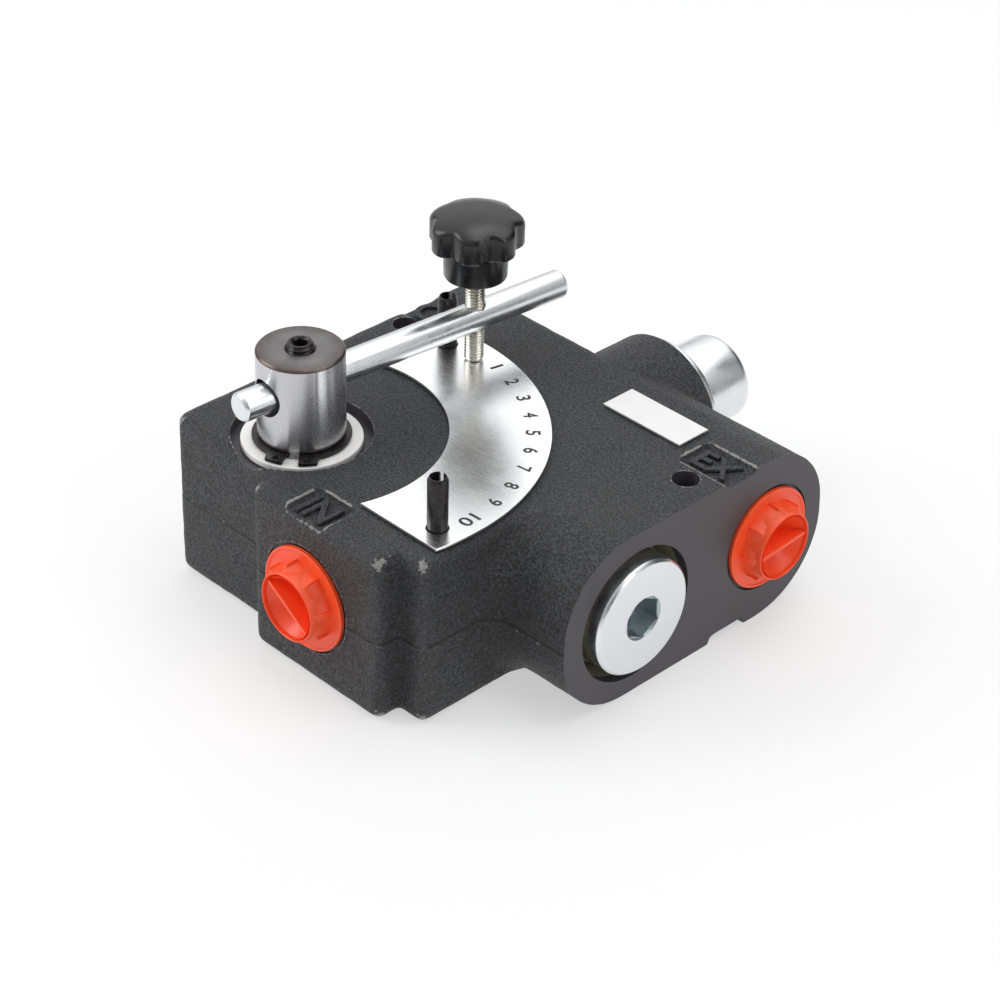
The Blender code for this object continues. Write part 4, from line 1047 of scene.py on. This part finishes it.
def shipping_plug(name, body, port, web_angle, plastic):
    """A moulded push-in plug: rimmed plate, faceted collar with ribs, and a hollow crossed by a web."""
    seat = port @ Matrix.Translation((0, 0, -SPOTFACE_DEPTH))
    floor, plate_top, top = 0.3 * MM, 1.5 * MM, 8 * MM
    end, hollow_end, sides = -9 * MM, -7.5 * MM, 8
    outside = [(9.6 * MM, top), (10.6 * MM, top), (10.9 * MM, top - 2.2 * MM), (11.3 * MM, plate_top)]
    outside += [(15.2 * MM, plate_top), (15.4 * MM, plate_top + 0.3 * MM), (16.2 * MM, plate_top + 0.3 * MM)]
    outside += [(16.2 * MM, floor), (9.3 * MM, floor), (8.9 * MM, end), (0, end)]
    hollow = [(0, hollow_end), (8.2 * MM, hollow_end), (8.4 * MM, 0), (9.5 * MM, plate_top), (9.6 * MM, top)]
    profile = [*reversed(softened(hollow, 0.2 * MM)), *softened(outside, 0.28 * MM)[1:]]
    parts = [lathe(name + "_shell", seat, profile, sides=96)]
    place = seat @ spun(web_angle)
    low, high = (-9.5 * MM, -0.55 * MM, -7.8 * MM), (9.5 * MM, 0.55 * MM, top - 0.35 * MM)
    web = block(name + "_web", low, high, 0.15 * MM)
    reach = [(0, top), (10 * MM, top), (9.9 * MM, plate_top), (8.7 * MM, 0)]
    reach += [(8.5 * MM, -8.2 * MM), (0, -8.2 * MM)]
    combine(web, [lathe(name + "_trim", UP, reach, sides=64)], "INTERSECT")
    web.matrix_world = place
    parts.append(web)
    skirt = ((12.3 * MM, plate_top - 0.2 * MM), (11.7 * MM, top - 2.4 * MM), (10.7 * MM, top - 1.2 * MM))
    rings = [[(*point, height) for point in circle((0, 0), radius, sides)] for radius, height in skirt]
    parts.append(loft(name + "_facets", rings, place))
    low, high = (10.4 * MM, -0.2 * MM, plate_top - 0.2 * MM), (12.6 * MM, 0.2 * MM, top - 2.6 * MM)
    for i in range(sides):
        spin = place @ spun(360 / sides * i)
        parts.append(block(f"{name}_rib_{i}", low, high, 0.12 * MM, spin))
    show(dress(joined(name + "_moulding", parts), plastic, angle=32), body, "orange_plastic", name)


# ------------ kept CAD nodes


def paint_kept_nodes(looks):
    """Every CAD node that stays in view gets a finished material."""
    for node, material in looks.items():
        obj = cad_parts[node]
        obj.data.materials.clear()
        obj.data.materials.append(material)


# ------------ floor, light and camera


def build_floor():
    """Plain pale paper, lit partly from within so that shadows on it stay light."""
    shape = bmesh.new()
    bmesh.ops.create_grid(shape, x_segments=1, y_segments=1, size=6)
    floor = add_object("floor", shape, Matrix.Translation((0, 0, -0.1 * MM)))
    paper = Shader("white_paper", (0.39, 0.39, 0.39), 0.8, Specular_IOR_Level=0.1, Emission_Strength=0.52)
    paper.set("Base Color", paper.mix(paper.grain(40, 2), (0.39, 0.39, 0.391), (0.387, 0.388, 0.39)))
    paper.set("Emission Color", (1.0, 1.0, 1.0, 1.0))
    floor.data.materials.append(paper.material)


def build_world():
    """Studio light, brighter overhead, with bright and dark panels round about for metal to reflect."""
    world = bpy.data.worlds.new("studio")
    bpy.context.scene.world = world
    graph = Graph(world)
    place = graph.add("ShaderNodeTexCoord").outputs["Generated"]
    parts = graph.add("ShaderNodeSeparateXYZ", Vector=place).outputs
    above = graph.ramp(parts["Z"], (0.0, (0.30, 0.30, 0.31)), (0.6, (1.0, 1.0, 1.0)))
    azimuth = graph.maths("ARCTAN2", parts["Y"], parts["X"])
    share = graph.add("ShaderNodeMapRange", Value=azimuth, From_Min=-math.pi, From_Max=math.pi)
    bands = graph.add("ShaderNodeValToRGB", Fac=share.outputs["Result"])
    stops = (
        (-180, 0.7), (-110, 0.67), (-60, 0.45), (-34, 0.4), (-24, 0.06), (-14, 0.08),
        (-7, 0.75), (12, 0.75), (20, 0.09), (34, 0.15), (39, 0.75), (45, 0.75),
        (51, 0.05), (92, 0.1), (106, 1.0), (165, 1.0), (180, 0.7),
    )
    points = bands.color_ramp.elements
    for degrees, _ in stops[1:-1]:
        points.new((degrees + 180) / 360)
    for point, (_, level) in zip(points, stops):
        point.color = (level, level, level, 1)
    light = graph.mix(1.0, above, bands.outputs["Color"], "MULTIPLY")
    background = graph.tree.nodes["Background"]
    graph.feed(background.inputs["Color"], light)
    graph.feed(background.inputs["Strength"], 1.32)


def build_lights():
    target = Vector((0.03, 0.04, 0.03))
    for name, place, size, power in (
        ("overhead", (0.25, 0.45, 1.3), (1.2, 1.2), 8.5),
        ("left_softbox", (-0.9, -0.7, 0.8), (0.8, 1.0), 8),
        ("right_softbox", (1.3, 0.3, 0.6), (0.5, 1.0), 2.5),
    ):
        light = bpy.data.lights.new(name, "AREA")
        light.shape = "RECTANGLE"
        light.size, light.size_y = size
        light.energy = power
        obj = bpy.data.objects.new(name, light)
        obj.location = place
        obj.rotation_euler = (target - obj.location).to_track_quat("-Z", "Y").to_euler()
        COLLECTION.objects.link(obj)


def build_camera():
    camera = bpy.data.cameras.new("camera")
    camera.sensor_width = 36
    camera.lens = 103.2
    camera.clip_end = 20
    obj = bpy.data.objects.new("camera", camera)
    place = Vector((0.53417, -0.45525, 0.5015))
    right = Vector((0.69844, 0.71532, 0.02214)).normalized()
    back = Vector((0.58573, -0.58914, 0.55663)).normalized()
    up = back.cross(right).normalized()
    turn = Matrix((right, up, back)).transposed().to_4x4()
    obj.matrix_world = Matrix.Translation(place) @ turn
    COLLECTION.objects.link(obj)
    bpy.context.scene.camera = obj
    bpy.context.scene.view_settings.view_transform = "Standard"


steel, oxide, white, bright = ground_steel(), black_oxide(), nylon(), zinc()
plastic, orange, inner, seal = black_plastic(), orange_plastic(), inner_steel(), rubber()
yellow = zinc("yellow_zinc", (0.76, 0.745, 0.68), (0.50, 0.46, 0.36), (0.22, 0.36))
cast = cast_paint()
build_casting(cast, machined_paint(), bare_seat())
build_marks(cast)
build_hub(steel)
build_set_screw(oxide)
build_washer(white)
build_circlip(oxide)
build_lever(bright)
build_pins(oxide)
build_dial(brushed_aluminium())
build_numbers(ink())
build_lock_screw(yellow)
build_knob(plastic)
# The darker zinc for the plug's hex socket is painted shade in its hollow.
build_compensator_plug(bright, zinc("socket_zinc_painted_shade", (0.50, 0.55, 0.57), (0.28, 0.33, 0.35), (0.3, 0.45)))
build_relief(bright)
shipping_plug("in_shipping_plug", "in_plug", IN_PORT, -33, orange)
shipping_plug("ex_shipping_plug", "ex_plug", EX_PORT, 94, orange)
shipping_plug("cf_shipping_plug", "cf_plug", CF_PORT, 70, orange)
paint_kept_nodes({
    "label_plate": label_face(),
    "compensator_spool": inner, "compensator_spring": inner, "relief_seat": inner,
    "relief_poppet": inner, "relief_spring": inner, "relief_adjuster": bright, "relief_locknut": bright,
    "spool_o_ring_1": seal, "spool_o_ring_2": seal, "plug_o_ring": seal, "relief_o_ring": seal,
})
build_floor()
build_world()
build_lights()
build_camera()
